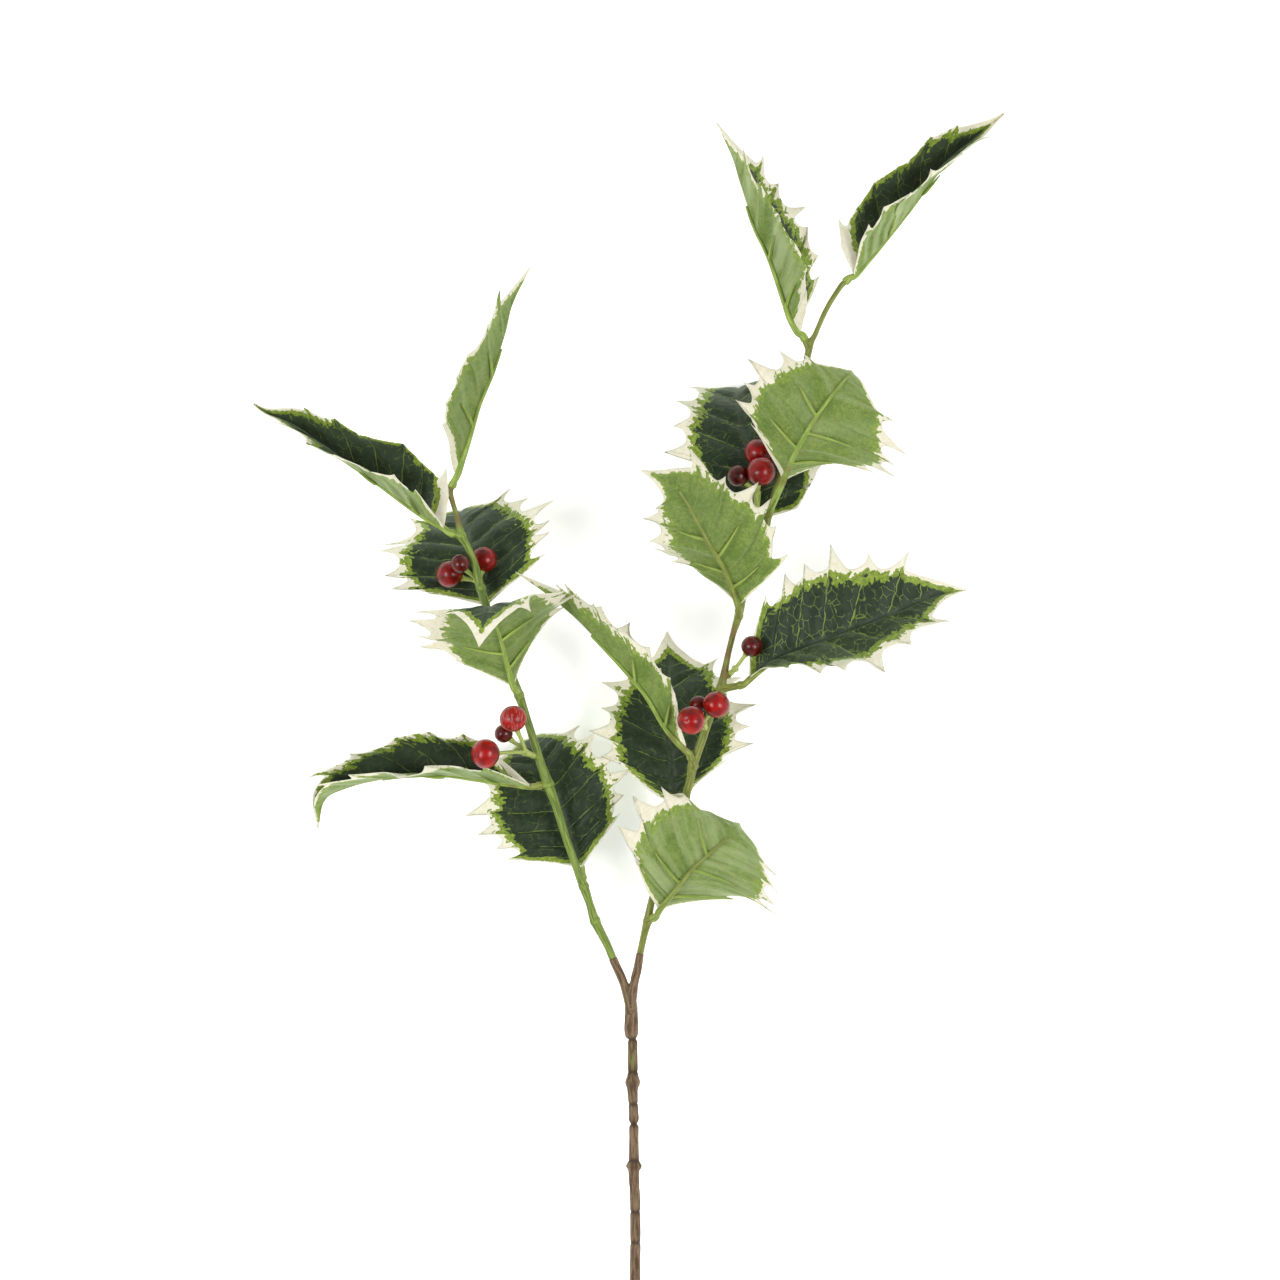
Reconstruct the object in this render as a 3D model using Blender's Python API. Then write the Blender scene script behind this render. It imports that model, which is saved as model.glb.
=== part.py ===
"""A variegated holly spray, cut and lying on a surface: a brown stem that forks into two green
branches, fifteen spiny leaves plugged onto short stubs, and clusters of red berries.

Lengths are millimetres until MM scales the finished meshes to metres. The spray lies along Y with
its cut end at -Y. Its back leaves bend down to the surface at z = 0 and hold the branches up."""

import math

import bpy
import numpy as np

MM = 0.001

# Clearance between two pieces that touch.
GAP = 0.35

# Leaf blades.
BLADE_THICKNESS = 0.5
TEETH_PER_SIDE = 7
TOOTH_LENGTH = 8.0
FIRST_TOOTH = 0.05
LAST_TOOTH = 0.88
LATERAL_SLOPE_AT_BASE = 0.45
LATERAL_SLOPE_AT_TIP = 0.9
ROUNDNESS = 0.5
BASE_HALF_WIDTH = 0.9
TIP_HALF_WIDTH = 0.12
EDGE_RIPPLE = 1.4

# Ribs moulded under the leaves, with the petiole that plugs onto a stub.
RIB_BASE_RADIUS = 1.35
RIB_END_RADIUS = 0.55
RIB_ROWS = 10
SIDE_RIB_ROWS = (2, 4, 6, 8)
SIDE_RIB_REACH = 0.34
SIDE_RIB_RADIUS = 0.7
STUB_RADIUS = 1.5

# Berry stalks.
BOSS_RADIUS = 1.15
STALK_RADIUS = 0.9
CALYX_RADIUS = 1.2
KNOB_RADIUS = 1.6

# The stem and its two branches: x, y, z and radius along each. The swellings are the nodes.
LEFT_SEAM = (-7.0, -82.5, 22.1)
RIGHT_SEAM = (4.0, -80.5, 22.1)
TRUNK = [
    (2, -257.5, 2.1, 2.2), (2, -218.5, 6.7, 2.15), (2, -186.5, 10.3, 2.1), (1.5, -170.5, 12.0, 2.2),
    (1.5, -167.5, 12.4, 3.0), (1.5, -163, 12.8, 2.1), (1.5, -150, 14.3, 1.9), (1, -137, 15.7, 2.1),
    (1, -133.5, 16.1, 2.9), (1, -129, 16.6, 2.15), (1, -117, 17.9, 1.95), (0.5, -112.5, 18.4, 2.8),
    (0.5, -104.5, 19.3, 2.6), (0, -98, 20.1, 2.2),
]
LEFT_ARM = [(0.2, -104, 19.4, 1.8), (-2.5, -93, 20.8, 1.75), (-5.5, -86, 21.6, 1.75), (*LEFT_SEAM, 1.7)]
RIGHT_ARM = [(0.4, -104, 19.4, 1.8), (1.5, -93.5, 20.7, 1.75), (3, -86.5, 21.5, 1.75), (*RIGHT_SEAM, 1.5)]
LEFT_BRANCH = [
    (*LEFT_SEAM, 1.6), (-9.5, -76.5, 23, 1.6), (-14, -67.5, 24.4, 1.95), (-16, -61, 25.3, 1.6),
    (-18.5, -53.5, 26.5, 1.9), (-21, -47, 27.5, 1.6), (-25.5, -34, 29.5, 1.6), (-29.5, -21, 31.6, 1.7),
    (-32.5, -12.5, 33, 2.1), (-35.5, -4, 34.2, 1.75), (-41, 14, 36.5, 1.6), (-44, 23, 37.5, 1.85),
    (-46.5, 30.5, 38.5, 1.55), (-51.5, 43, 39.8, 1.5), (-56, 56, 41, 1.6), (-59, 65.5, 41.8, 1.75),
    (-61.5, 75.5, 42.6, 1.45), (-64.5, 82.5, 43.2, 1.45), (-66.5, 86, 43.6, 1.75),
    (-68, 92.5, 44.2, 1.1), (-70, 99.5, 44.9, 1.05), (-71, 103.5, 45.3, 1.3), (-70, 106, 45.6, 1.3),
]
RIGHT_BRANCH = [
    (*RIGHT_SEAM, 1.4), (5.5, -73.5, 23.2, 1.4), (7, -67.5, 24.1, 1.7), (8.5, -60, 25.3, 1.45),
    (11, -50, 26.9, 1.4), (15, -39, 28.6, 1.4), (18.5, -27.5, 30.2, 1.5), (22, -17.5, 31.6, 1.7),
    (24, -10.5, 32.6, 1.7), (25, -5, 33.3, 1.95), (28, 3.5, 34.4, 1.75), (31, 12.5, 35.6, 1.7),
    (34, 20.5, 36.7, 1.6), (36, 26, 37.5, 1.75), (37.5, 32.5, 38.3, 1.45), (39, 40, 39.3, 1.2),
    (41, 48, 40.3, 1.25), (43, 54.5, 41, 1.6), (45.5, 65, 42.2, 1.3), (50, 79.5, 43.8, 1.35),
    (53.5, 90.5, 45, 1.7), (57.5, 104, 46.2, 1.35), (62.5, 120.5, 47.3, 1.25), (67, 139.5, 48.2, 1.2),
    (70.5, 159.5, 49, 1.4), (73, 165.5, 49.4, 1.05), (77.5, 175.5, 50, 1.05), (82.5, 183.5, 50.5, 1.1),
    (85, 186, 50.8, 1.2),
]

# Each leaf. root: the point on the branch that its stub grows from, or None at a branch's end.
# joint: where the petiole plugs on. midrib: points from the blade's base to its tip. upper: the way
# the upper side faces at the base. half_widths: from the midrib to the bottom of the notches, on the
# left and the right as seen from above with the tip away. left and right: those halves' shapes. Each
# half leaves the midrib at a fold angle and curls on by a second angle towards its edge, both at the
# base, middle and tip.
LEAVES = {
    "left_leaf_1": {
        "branch": "left", "root": (-18.5, -54, 26.5), "joint": (-19, -50, 23.2),
        "midrib": [(-19.5, -46, 22.3), (-25.5, -30.5, 23.5), (-31.5, -16.5, 22.5), (-36, -5, 17),
                   (-39, 2, 9), (-40, 5, 2.5), (-40, 3.5, 0.6), (-38.5, 0, 0.3)],
        "upper": (0, 0, 1), "half_widths": (23, 23),
        "left": ((6, 6, 6), (-4, -4, -4)), "right": ((4, 6, 6), (-4, -4, -4)),
    },
    "left_leaf_2": {
        "branch": "left", "root": (-32.5, -12.5, 33), "joint": (-36, -13, 34),
        "midrib": [(-40, -13, 35), (-55.5, -11, 36), (-75.5, -8.5, 37), (-97, -10, 36),
                   (-113.5, -14, 33), (-122, -19, 29), (-125, -30.5, 24)],
        "upper": (0, 0.26, 0.97), "half_widths": (20, 20),
        "left": ((70, 66, 78), (30, -5, 25)), "right": ((25, 25, 65), (50, 55, 30)),
    },
    "left_leaf_3": {
        "branch": "left", "root": (-44, 23, 37.5), "joint": (-45, 25, 41.5),
        "midrib": [(-46, 27, 43.5), (-48.5, 37, 50), (-50.5, 46.5, 60), (-52.5, 54.5, 72),
                   (-53.5, 58, 81), (-55.5, 53, 88), (-57.5, 42.5, 92)],
        "upper": (0, 0.7, -0.7), "half_widths": (24, 24),
        "left": ((5, 0, 0), (10, 5, 5)), "right": ((8, 0, 0), (5, 5, 5)),
    },
    "left_leaf_4": {
        "branch": "left", "root": (-56.5, 55.5, 41), "joint": (-56.5, 56.5, 36.8),
        "midrib": [(-57, 59, 35), (-60, 69, 30), (-64, 80, 24), (-66.5, 89, 16), (-68.5, 94.5, 9),
                   (-69, 97.5, 2.5), (-69, 96, 0.6), (-68, 92.5, 0.3)],
        "upper": (0, 0, 1), "half_widths": (23, 23),
        "left": ((5, 8, 8), (5, 5, 0)), "right": ((5, 8, 8), (5, 5, 0)),
    },
    "left_leaf_5": {
        "branch": "left", "root": (-66.5, 86, 43.6), "joint": (-70, 87, 44),
        "midrib": [(-73.5, 89.5, 44.5), (-84.5, 96, 46), (-101, 108, 47), (-115, 117.5, 47),
                   (-131.5, 129.5, 45.5), (-143, 134.5, 43.5), (-149, 138.5, 41)],
        "upper": (0.135, 0.22, 0.97), "half_widths": (20, 21),
        "left": ((75, 62, 68), (25, 0, 0)), "right": ((20, 38, 65), (50, 50, 25)),
    },
    "left_leaf_6": {
        "branch": "left", "root": None, "joint": (-70, 106, 45.6),
        "midrib": [(-69, 111, 46.5), (-64.5, 123.5, 47), (-60, 138, 47.5), (-54.5, 150.5, 48),
                   (-49.5, 165.5, 48), (-46.5, 177.5, 47.5), (-39.5, 192, 46)],
        "upper": (-0.94, 0.35, 0), "half_widths": (21, 21),
        "left": ((35, 25, 20), (10, 5, 5)), "right": ((36, 22, 18), (8, 8, 5)),
    },
    "right_leaf_1": {
        "branch": "right", "root": (7, -67.5, 24.1), "joint": (9.5, -66, 27),
        "midrib": [(12, -62.5, 29), (18.5, -53.5, 37), (25.5, -44.5, 44), (33.5, -37, 49),
                   (39.5, -31.5, 48.5), (42.5, -28.5, 42), (43, -28.5, 32), (41.5, -32.5, 23)],
        "upper": (0.36, 0.46, -0.84), "half_widths": (25, 27),
        "left": ((45, 10, 5), (10, 12, 5)), "right": ((-25, 3, 45), (0, 12, 30)),
    },
    "right_leaf_2": {
        "branch": "right", "root": (19.5, -25.5, 30.6), "joint": (20, -23.5, 26.5),
        "midrib": [(20, -21, 25), (17, -11, 25), (15.5, 5, 20.5), (15.5, 21, 13), (15.5, 32, 4.5),
                   (15.5, 37, 0), (15, 42, -1.5), (15, 48.5, -1.5)],
        "upper": (0, 0, 1), "half_widths": (23, 27),
        "left": ((4, 6, 6), (0, 0, 0)), "right": ((4, 6, 6), (0, 0, 0)),
    },
    "right_leaf_3": {
        "branch": "right", "root": (25, -5, 33.3), "joint": (24, -1.5, 35.5),
        "midrib": [(22, 3, 38), (15, 10.5, 42), (7, 23.5, 46), (-1.5, 33.5, 48), (-12.5, 45, 49),
                   (-22.5, 55, 48), (-33.5, 64, 46), (-45, 72, 43)],
        "upper": (0.71, 0.70, 0), "half_widths": (13, 15),
        "left": ((62, 42, 30), (5, 5, 5)), "right": ((35, 40, 40), (10, 10, 10)),
    },
    "right_leaf_4": {
        "branch": "right", "root": (36, 25.5, 37.5), "joint": (43.5, 27, 39.5),
        "midrib": [(47.5, 30.5, 41), (57.5, 37.5, 43), (79, 46, 45), (102.5, 55, 45),
                   (120.5, 62.5, 43), (133, 65, 41)],
        "upper": (-0.19, 0.5, 0.84), "half_widths": (23, 22),
        "left": ((33, 33, 33), (-5, -5, -5)), "right": ((32, 32, 32), (0, 0, 0)),
    },
    "right_leaf_5": {
        "branch": "right", "root": (43, 54.5, 41), "joint": (43, 56.5, 44.5),
        "midrib": [(43, 59, 46.5), (41, 64, 50), (37, 73.5, 58), (32, 81, 65), (25.5, 92.5, 72),
                   (19.5, 102.5, 76), (11.5, 107.5, 76), (4.5, 110.5, 73)],
        "upper": (0.2, 0.62, -0.75), "half_widths": (24, 21),
        "left": ((-5, 40, 75), (0, 10, 10)), "right": ((30, 5, 5), (5, 5, 5)),
    },
    "right_leaf_6": {
        "branch": "right", "root": (53, 89, 45), "joint": (54, 91, 40.7),
        "midrib": [(54.5, 93.5, 39), (50.5, 108.5, 36), (46.5, 123.5, 30), (44.5, 136.5, 21),
                   (43.5, 145, 11), (44, 147.5, 2), (44.5, 144, -2.5), (45.5, 136, -2)],
        "upper": (0, 0, 1), "half_widths": (21, 25),
        "left": ((5, 8, 8), (0, 0, 0)), "right": ((0, 8, 12), (0, 5, 10)),
    },
    "right_leaf_7": {
        "branch": "right", "root": (53.5, 90.5, 45), "joint": (54.5, 94, 48.3),
        "midrib": [(60, 107.5, 59), (65.5, 120, 63.5), (73, 132.5, 65.5), (81, 143, 64.5),
                   (85.5, 148.5, 61.5), (89, 152, 57.5), (91, 154.5, 53)],
        "upper": (0.15, 0.32, -0.93), "half_widths": (26, 25),
        "left": ((35, 18, 15), (5, 8, 8)), "right": ((40, 0, 25), (5, 5, 10)),
    },
    "right_leaf_8": {
        "branch": "right", "root": (70.5, 159.5, 49), "joint": (68.5, 163.5, 49.5),
        "midrib": [(67, 166.5, 50), (63.5, 172.5, 50.5), (55.5, 194.5, 52), (49, 208, 52.5),
                   (43.5, 224.5, 52), (40.5, 234.5, 51), (34.5, 248.5, 48)],
        "upper": (0.91, 0.36, 0.22), "half_widths": (19, 20),
        "left": ((46, 30, 15), (0, 0, 0)), "right": ((46, 36, 28), (0, 0, 0)),
    },
    "right_leaf_9": {
        "branch": "right", "root": None, "joint": (85, 186, 50.8),
        "midrib": [(88, 188.5, 51.3), (96.5, 198, 52.5), (110, 214.5, 53.5), (123.5, 232, 52.5),
                   (135.5, 242.5, 50), (147.5, 252.5, 47)],
        "upper": (-0.285, 0.265, 0.92), "half_widths": (22, 20),
        "left": ((30, 50, 75), (50, 50, 20)), "right": ((75, 68, 45), (20, 5, 0)),
    },
}

# Each berry cluster. knob: where the stalks part. berries: x, y, z and radius.
CLUSTERS = {
    "left_low": {
        "branch": "left", "root": (-37, -1.5, 34.6), "joint": (-38.6, -0.8, 37.2), "knob": (-41.5, 0.5, 41),
        "berries": [(-56.5, 0.5, 56.5, 5.7), (-46, 14, 47, 5.3), (-50, 8, 40, 3.7)],
    },
    "left_high": {
        "branch": "left", "root": (-59, 65.5, 41.8), "joint": (-59.6, 66.7, 38.6), "knob": (-60, 67.5, 36.5),
        "berries": [(-58, 77, 34, 5.1), (-67, 75, 46, 3.7), (-71.5, 71, 39, 5.3)],
    },
    "right_low": {
        "branch": "right", "root": (30, 9, 35.1), "joint": (29.6, 10.4, 38), "knob": (29, 12.5, 42),
        "berries": [(24, 13.5, 54, 5.5), (34, 19.5, 47, 5.3), (27, 19.5, 41, 3.5)],
    },
    "right_single": {
        "branch": "right", "root": (38.5, 30.5, 38.3), "joint": (40.2, 32.2, 40.4), "knob": (41.5, 33.6, 42),
        "berries": [(48, 42.5, 47, 4.2)],
    },
    "right_high": {
        "branch": "right", "root": (53.5, 90.5, 45), "joint": (50.9, 93.2, 46), "knob": (50, 103, 48.5),
        "berries": [(50.5, 119, 45, 5.3), (51.5, 111, 53.5, 5.7), (42.5, 109.5, 49, 4.3)],
    },
}


def unit(vector):
    return vector / np.linalg.norm(vector)


def toward(start, end, distance):
    """The point that lies the distance from start on the way to end."""
    start, end = np.array(start, float), np.array(end, float)
    return start + unit(end - start) * distance


def beyond(start, end, distance):
    """The point that lies the distance past end, coming from start."""
    start, end = np.array(start, float), np.array(end, float)
    return end + unit(end - start) * distance


def smooth_line(points, steps=10):
    """A Catmull-Rom curve through the points."""
    points = np.array(points, float)
    points = np.vstack([2 * points[0] - points[1], points, 2 * points[-1] - points[-2]])
    curve = []
    for a, b, c, d in zip(points, points[1:], points[2:], points[3:]):
        for t in np.arange(steps) / steps:
            curve.append(0.5 * (2 * b + (c - a) * t + (2 * a - 5 * b + 4 * c - d) * t**2
                                + (3 * b - a - 3 * c + d) * t**3))
    curve.append(points[-2])
    return np.array(curve)


def clear_scene():
    for thing in list(bpy.data.objects):
        bpy.data.objects.remove(thing, do_unlink=True)


def make_material(name, colour, roughness):
    material = bpy.data.materials.new(name)
    material.use_nodes = True
    shader = material.node_tree.nodes["Principled BSDF"]
    shader.inputs["Base Color"].default_value = (*colour, 1.0)
    shader.inputs["Roughness"].default_value = roughness
    shader.inputs["Metallic"].default_value = 0.0
    return material


def make_object(name, verts, faces, material=None):
    mesh = bpy.data.meshes.new(name)
    mesh.from_pydata([tuple(co * MM for co in vert) for vert in verts], [], faces)
    mesh.shade_smooth()
    mesh.set_sharp_from_angle(angle=math.radians(50))
    if material:
        mesh.materials.append(material)
    thing = bpy.data.objects.new(name, mesh)
    bpy.context.scene.collection.objects.link(thing)
    return thing


def fuse(thing, cutters):
    """Joins each cutter to the object with a Boolean union."""
    for number, cutter in enumerate(cutters):
        cutter.hide_render = True
        cutter.display_type = "WIRE"
        union = thing.modifiers.new(f"union_{number}", "BOOLEAN")
        union.operation = "UNION"
        union.solver = "MANIFOLD"
        union.object = cutter


def tube(points, radii, sides):
    """Verts and faces of a closed tube along the points, with flat ends."""
    points = [np.array(point, float) for point in points]
    verts, faces = [], []
    outward = None
    for index, (point, radius) in enumerate(zip(points, radii)):
        before, after = points[max(index - 1, 0)], points[min(index + 1, len(points) - 1)]
        tangent = unit(after - before)
        if outward is None:
            outward = np.cross(tangent, (0, 0, 1)) if abs(tangent[2]) < 0.9 else np.array((1.0, 0, 0))
        outward = unit(outward - tangent * outward.dot(tangent))
        aside = np.cross(tangent, outward)
        for side in range(sides):
            turn = 2 * math.pi * side / sides
            verts.append(point + (outward * math.cos(turn) + aside * math.sin(turn)) * radius)
    for ring in range(len(points) - 1):
        for side in range(sides):
            here, there = ring * sides + side, ring * sides + (side + 1) % sides
            faces.append((here, there, there + sides, here + sides))
    faces.append(tuple(reversed(range(sides))))
    faces.append(tuple(range((len(points) - 1) * sides, len(points) * sides)))
    return verts, faces


def joined(pieces):
    """The verts and faces of several pieces as one mesh."""
    verts, faces = [], []
    for piece_verts, piece_faces in pieces:
        faces += [tuple(corner + len(verts) for corner in face) for face in piece_faces]
        verts += piece_verts
    return verts, faces


def stem_tube(path, sides):
    return tube([point[:3] for point in path], [point[3] for point in path], sides)


def shortened(path, at_start, at_end):
    """The path with its ends drawn in, so that two pieces meet with a gap."""
    path = list(path)
    if at_start:
        path[0] = (*toward(path[0][:3], path[1][:3], GAP / 2), path[0][3])
    if at_end:
        path[-1] = (*toward(path[-1][:3], path[-2][:3], GAP / 2), path[-1][3])
    return path


def branch_end(side):
    """The last point but one of a branch, from which its end leaf's petiole runs on."""
    path = LEFT_BRANCH if side == "left" else RIGHT_BRANCH
    return path[-2][:3]


class Midrib:
    """A leaf's middle line, with the directions across the blade and out of its upper side."""

    def __init__(self, leaf):
        self.points = smooth_line(leaf["midrib"])
        legs = np.linalg.norm(np.diff(self.points, axis=0), axis=1)
        self.marks = np.concatenate([[0.0], np.cumsum(legs)])
        self.length = self.marks[-1]
        slopes = np.gradient(self.points, self.marks, axis=0)
        self.tangents = np.array([unit(slope) for slope in slopes])
        facing = np.array(leaf["upper"], float)
        uppers = []
        for tangent in self.tangents:
            facing = unit(facing - tangent * facing.dot(tangent))
            uppers.append(facing)
        self.uppers = np.array(uppers)
        self.acrosses = np.cross(self.tangents, self.uppers)

    def at(self, along):
        """The point, the direction across and the upper direction at a length along the midrib."""
        rows = [self.points, self.acrosses, self.uppers]
        return [np.array([np.interp(along, self.marks, column) for column in row.T]) for row in rows]


def blend(values, share):
    """A value that passes through three values at shares 0, 0.5 and 1."""
    return float(np.interp(share, (0, 0.5, 1), values))


def tooth_place(share):
    """How many teeth have gone by at a share of the leaf's length."""
    return TEETH_PER_SIDE * (share - FIRST_TOOTH) / (LAST_TOOTH - FIRST_TOOTH)


def half_width(leaf, share, right):
    """Length across from the midrib to the edge, teeth included."""
    rounded = min(share / 0.9, 1.0) ** ROUNDNESS
    width = leaf["half_widths"][right] * max(math.sin(math.pi * rounded), 0.0) ** 0.8
    place = tooth_place(share)
    if 0 < place < TEETH_PER_SIDE:
        spike = 1 - abs(2 * (place % 1) - 1)
        uneven = 1 + 0.22 * math.sin(2.4 * math.floor(place) + 1.7 * right + leaf["half_widths"][0])
        width += TOOTH_LENGTH * spike * uneven * (0.45 + 0.55 * math.sin(math.pi * share))
    return max(width, BASE_HALF_WIDTH * (1 - share) + TIP_HALF_WIDTH)


def blade_point(leaf, midrib, share, reach):
    """The middle of the blade's thickness, and the way its upper side faces, on the lateral vein
    that leaves the midrib at a share of its length. The reach is -1 at the left edge, 1 at the
    right edge."""
    right = reach > 0
    folds, curls = leaf["right"] if right else leaf["left"]
    distance = abs(reach) * half_width(leaf, share, right)
    slope = LATERAL_SLOPE_AT_BASE + (LATERAL_SLOPE_AT_TIP - LATERAL_SLOPE_AT_BASE) * share
    along = min(share * midrib.length + distance * slope, midrib.length)
    point, across, upper = midrib.at(along)
    across = across if right else -across
    fold = math.radians(blend(folds, along / midrib.length))
    turn = math.radians(blend(curls, along / midrib.length)) / leaf["half_widths"][right]
    angle = fold + turn * distance
    if abs(turn) < 1e-6:
        out, rise = distance * math.cos(fold), distance * math.sin(fold)
    else:
        out = (math.sin(angle) - math.sin(fold)) / turn
        rise = (math.cos(fold) - math.cos(angle)) / turn
    normal = unit(upper * math.cos(angle) - across * math.sin(angle))
    if reach == 0:
        normal = unit(upper)
    outer = distance / leaf["half_widths"][right]
    ripple = EDGE_RIPPLE * outer**2 * math.sin(math.pi * tooth_place(share))
    centre = point + across * out + upper * rise + normal * ripple
    if centre[2] < BLADE_THICKNESS / 2:
        centre[2] = BLADE_THICKNESS / 2
        normal = np.array((0.0, 0.0, math.copysign(1.0, normal[2])))
    return centre, normal


def row_shares():
    """The lateral veins that the blade's mesh follows: one at each notch and each tooth."""
    steps = 2 * TEETH_PER_SIDE
    span = LAST_TOOTH - FIRST_TOOTH
    return [0.0] + [FIRST_TOOTH + span * step / steps for step in range(steps + 1)] + [1.0]


REACHES = (-1.0, -0.5, 0.0, 0.5, 1.0)


def blade_mesh(leaf, midrib):
    """Verts and faces of the closed blade: an upper and a lower skin joined round the edge."""
    shares = row_shares()
    upper, lower = [], []
    for share in shares:
        for reach in REACHES:
            centre, normal = blade_point(leaf, midrib, share, reach)
            half = BLADE_THICKNESS / 2
            if reach == 0:
                fold = blend(leaf["right"][0], share) + blend(leaf["left"][0], share)
                half /= max(math.cos(math.radians(fold / 2)), 0.5)
            if centre[2] <= BLADE_THICKNESS / 2:
                half = BLADE_THICKNESS / 2
            upper.append(centre + normal * half)
            lower.append(centre - normal * half)
    columns, count = len(REACHES), len(upper)
    faces = []
    for row in range(len(shares) - 1):
        for column in range(columns - 1):
            here = row * columns + column
            quad = (here, here + 1, here + columns + 1, here + columns)
            faces.append(quad)
            faces.append(tuple(quad[corner] + count for corner in (0, 3, 2, 1)))
    last_row = (len(shares) - 1) * columns
    edge = [column for column in range(columns)]
    edge += [row * columns + columns - 1 for row in range(1, len(shares))]
    edge += [last_row + column for column in range(columns - 2, -1, -1)]
    edge += [row * columns for row in range(len(shares) - 2, 0, -1)]
    for here, there in zip(edge, edge[1:] + edge[:1]):
        faces.append((there, here, here + count, there + count))
    return upper + lower, faces


def rib_offset(leaf, share, radius):
    """How far under the blade's middle a rib's centre lies, clear of a blade that folds down."""
    fold = min(blend(leaf["left"][0], share), blend(leaf["right"][0], share), 0.0)
    both = (blend(leaf["left"][0], share) + blend(leaf["right"][0], share)) / 2
    skin = BLADE_THICKNESS / 2 / max(math.cos(math.radians(both)), 0.5)
    return skin + (GAP + radius) / math.cos(math.radians(fold))


def rib_pieces(leaf, midrib):
    """The petiole with the main rib, and the side ribs that branch from it."""
    shares = row_shares()[:RIB_ROWS]
    root = leaf["root"] or branch_end(leaf["branch"])
    points = [beyond(root, leaf["joint"], GAP), beyond(root, leaf["joint"], GAP + 1.2)]
    radii = [RIB_BASE_RADIUS, RIB_BASE_RADIUS]
    for share in shares:
        radius = RIB_BASE_RADIUS + (RIB_END_RADIUS - RIB_BASE_RADIUS) * share / shares[-1]
        centre, normal = blade_point(leaf, midrib, share, 0)
        extra = GAP if share == 0 else 0.0
        points.append(centre - normal * (rib_offset(leaf, share, radius) + extra))
        radii.append(radius)
    main = tube(points, radii, 6)
    sides = []
    for number, row in enumerate(SIDE_RIB_ROWS):
        direction = 1 if number % 2 else -1
        inner, inner_normal = blade_point(leaf, midrib, shares[row], 0.0)
        outer, outer_normal = blade_point(leaf, midrib, shares[row], direction * 0.5)
        _, near_normal = blade_point(leaf, midrib, shares[row], direction * 0.02)
        under = BLADE_THICKNESS / 2 + GAP + SIDE_RIB_RADIUS
        path = [points[row + 2]]
        corner = inner - unit(inner_normal + near_normal) * (under + GAP)
        if np.linalg.norm(corner - path[0]) > 0.5:
            path.append(corner)
        for reach in (SIDE_RIB_REACH / 2, SIDE_RIB_REACH):
            normal = unit(near_normal + (outer_normal - near_normal) * reach / 0.5)
            path.append(inner + (outer - inner) * reach / 0.5 - normal * under)
        thick = [SIDE_RIB_RADIUS] * (len(path) - 1)
        sides.append(tube(path, thick + [SIDE_RIB_RADIUS * 0.5], 5))
    return main, joined(sides)


def berry_mesh(centre, radius, axis, segments=12, rings=8):
    """A berry turned about its stalk's axis, a little flat, with a dimple at the far end."""
    axis = unit(axis)
    outward = unit(np.cross(axis, (0.3, 0.2, 1.0)))
    aside = np.cross(axis, outward)
    verts, faces = [], []
    for ring in range(1, rings):
        turn = math.pi * ring / rings
        for segment in range(segments):
            angle = 2 * math.pi * segment / segments
            round_part = (outward * math.cos(angle) + aside * math.sin(angle)) * math.sin(turn)
            verts.append(centre + (round_part - axis * 0.97 * math.cos(turn)) * radius)
    for ring in range(rings - 2):
        for segment in range(segments):
            here = ring * segments + segment
            there = ring * segments + (segment + 1) % segments
            faces.append((here, there, there + segments, here + segments))
    top, bottom = len(verts), len(verts) + 1
    verts += [centre - axis * radius * 0.95, centre + axis * radius * 0.92]
    last = (rings - 2) * segments
    for segment in range(segments):
        following = (segment + 1) % segments
        faces.append((top, following, segment))
        faces.append((bottom, last + segment, last + following))
    return verts, faces


def add_stems(materials):
    trunk = make_object("main_stem", *stem_tube(TRUNK, 10), materials["brown_stem"])
    arms = []
    for name, arm in (("left_arm", LEFT_ARM), ("right_arm", RIGHT_ARM)):
        arms.append(make_object(f"cut_{name}", *stem_tube(shortened(arm, False, True), 9)))
    fuse(trunk, arms)
    for side, path in (("left", LEFT_BRANCH), ("right", RIGHT_BRANCH)):
        ends_in_leaf = shortened(path, True, False)
        branch = make_object(f"{side}_branch", *stem_tube(ends_in_leaf, 8), materials["green_branch"])
        stubs = []
        for name, leaf in LEAVES.items():
            if leaf["branch"] == side and leaf["root"]:
                path_of_stub = [leaf["root"], leaf["joint"]]
                stubs.append((name, tube(path_of_stub, [STUB_RADIUS, STUB_RADIUS * 0.9], 7)))
        for name, cluster in CLUSTERS.items():
            if cluster["branch"] == side:
                path_of_stub = [cluster["root"], cluster["joint"]]
                stubs.append((name, tube(path_of_stub, [BOSS_RADIUS, BOSS_RADIUS], 7)))
        fuse(branch, [make_object(f"cut_{name}_stub", *mesh) for name, mesh in stubs])


def add_leaves(materials):
    for name, leaf in LEAVES.items():
        midrib = Midrib(leaf)
        make_object(f"{name}_blade", *blade_mesh(leaf, midrib), materials["leaf_blade"])
        main, sides = rib_pieces(leaf, midrib)
        rib = make_object(f"{name}_rib", *main, materials["leaf_rib"])
        fuse(rib, [make_object(f"cut_{name}_side_ribs", *sides)])


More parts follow.
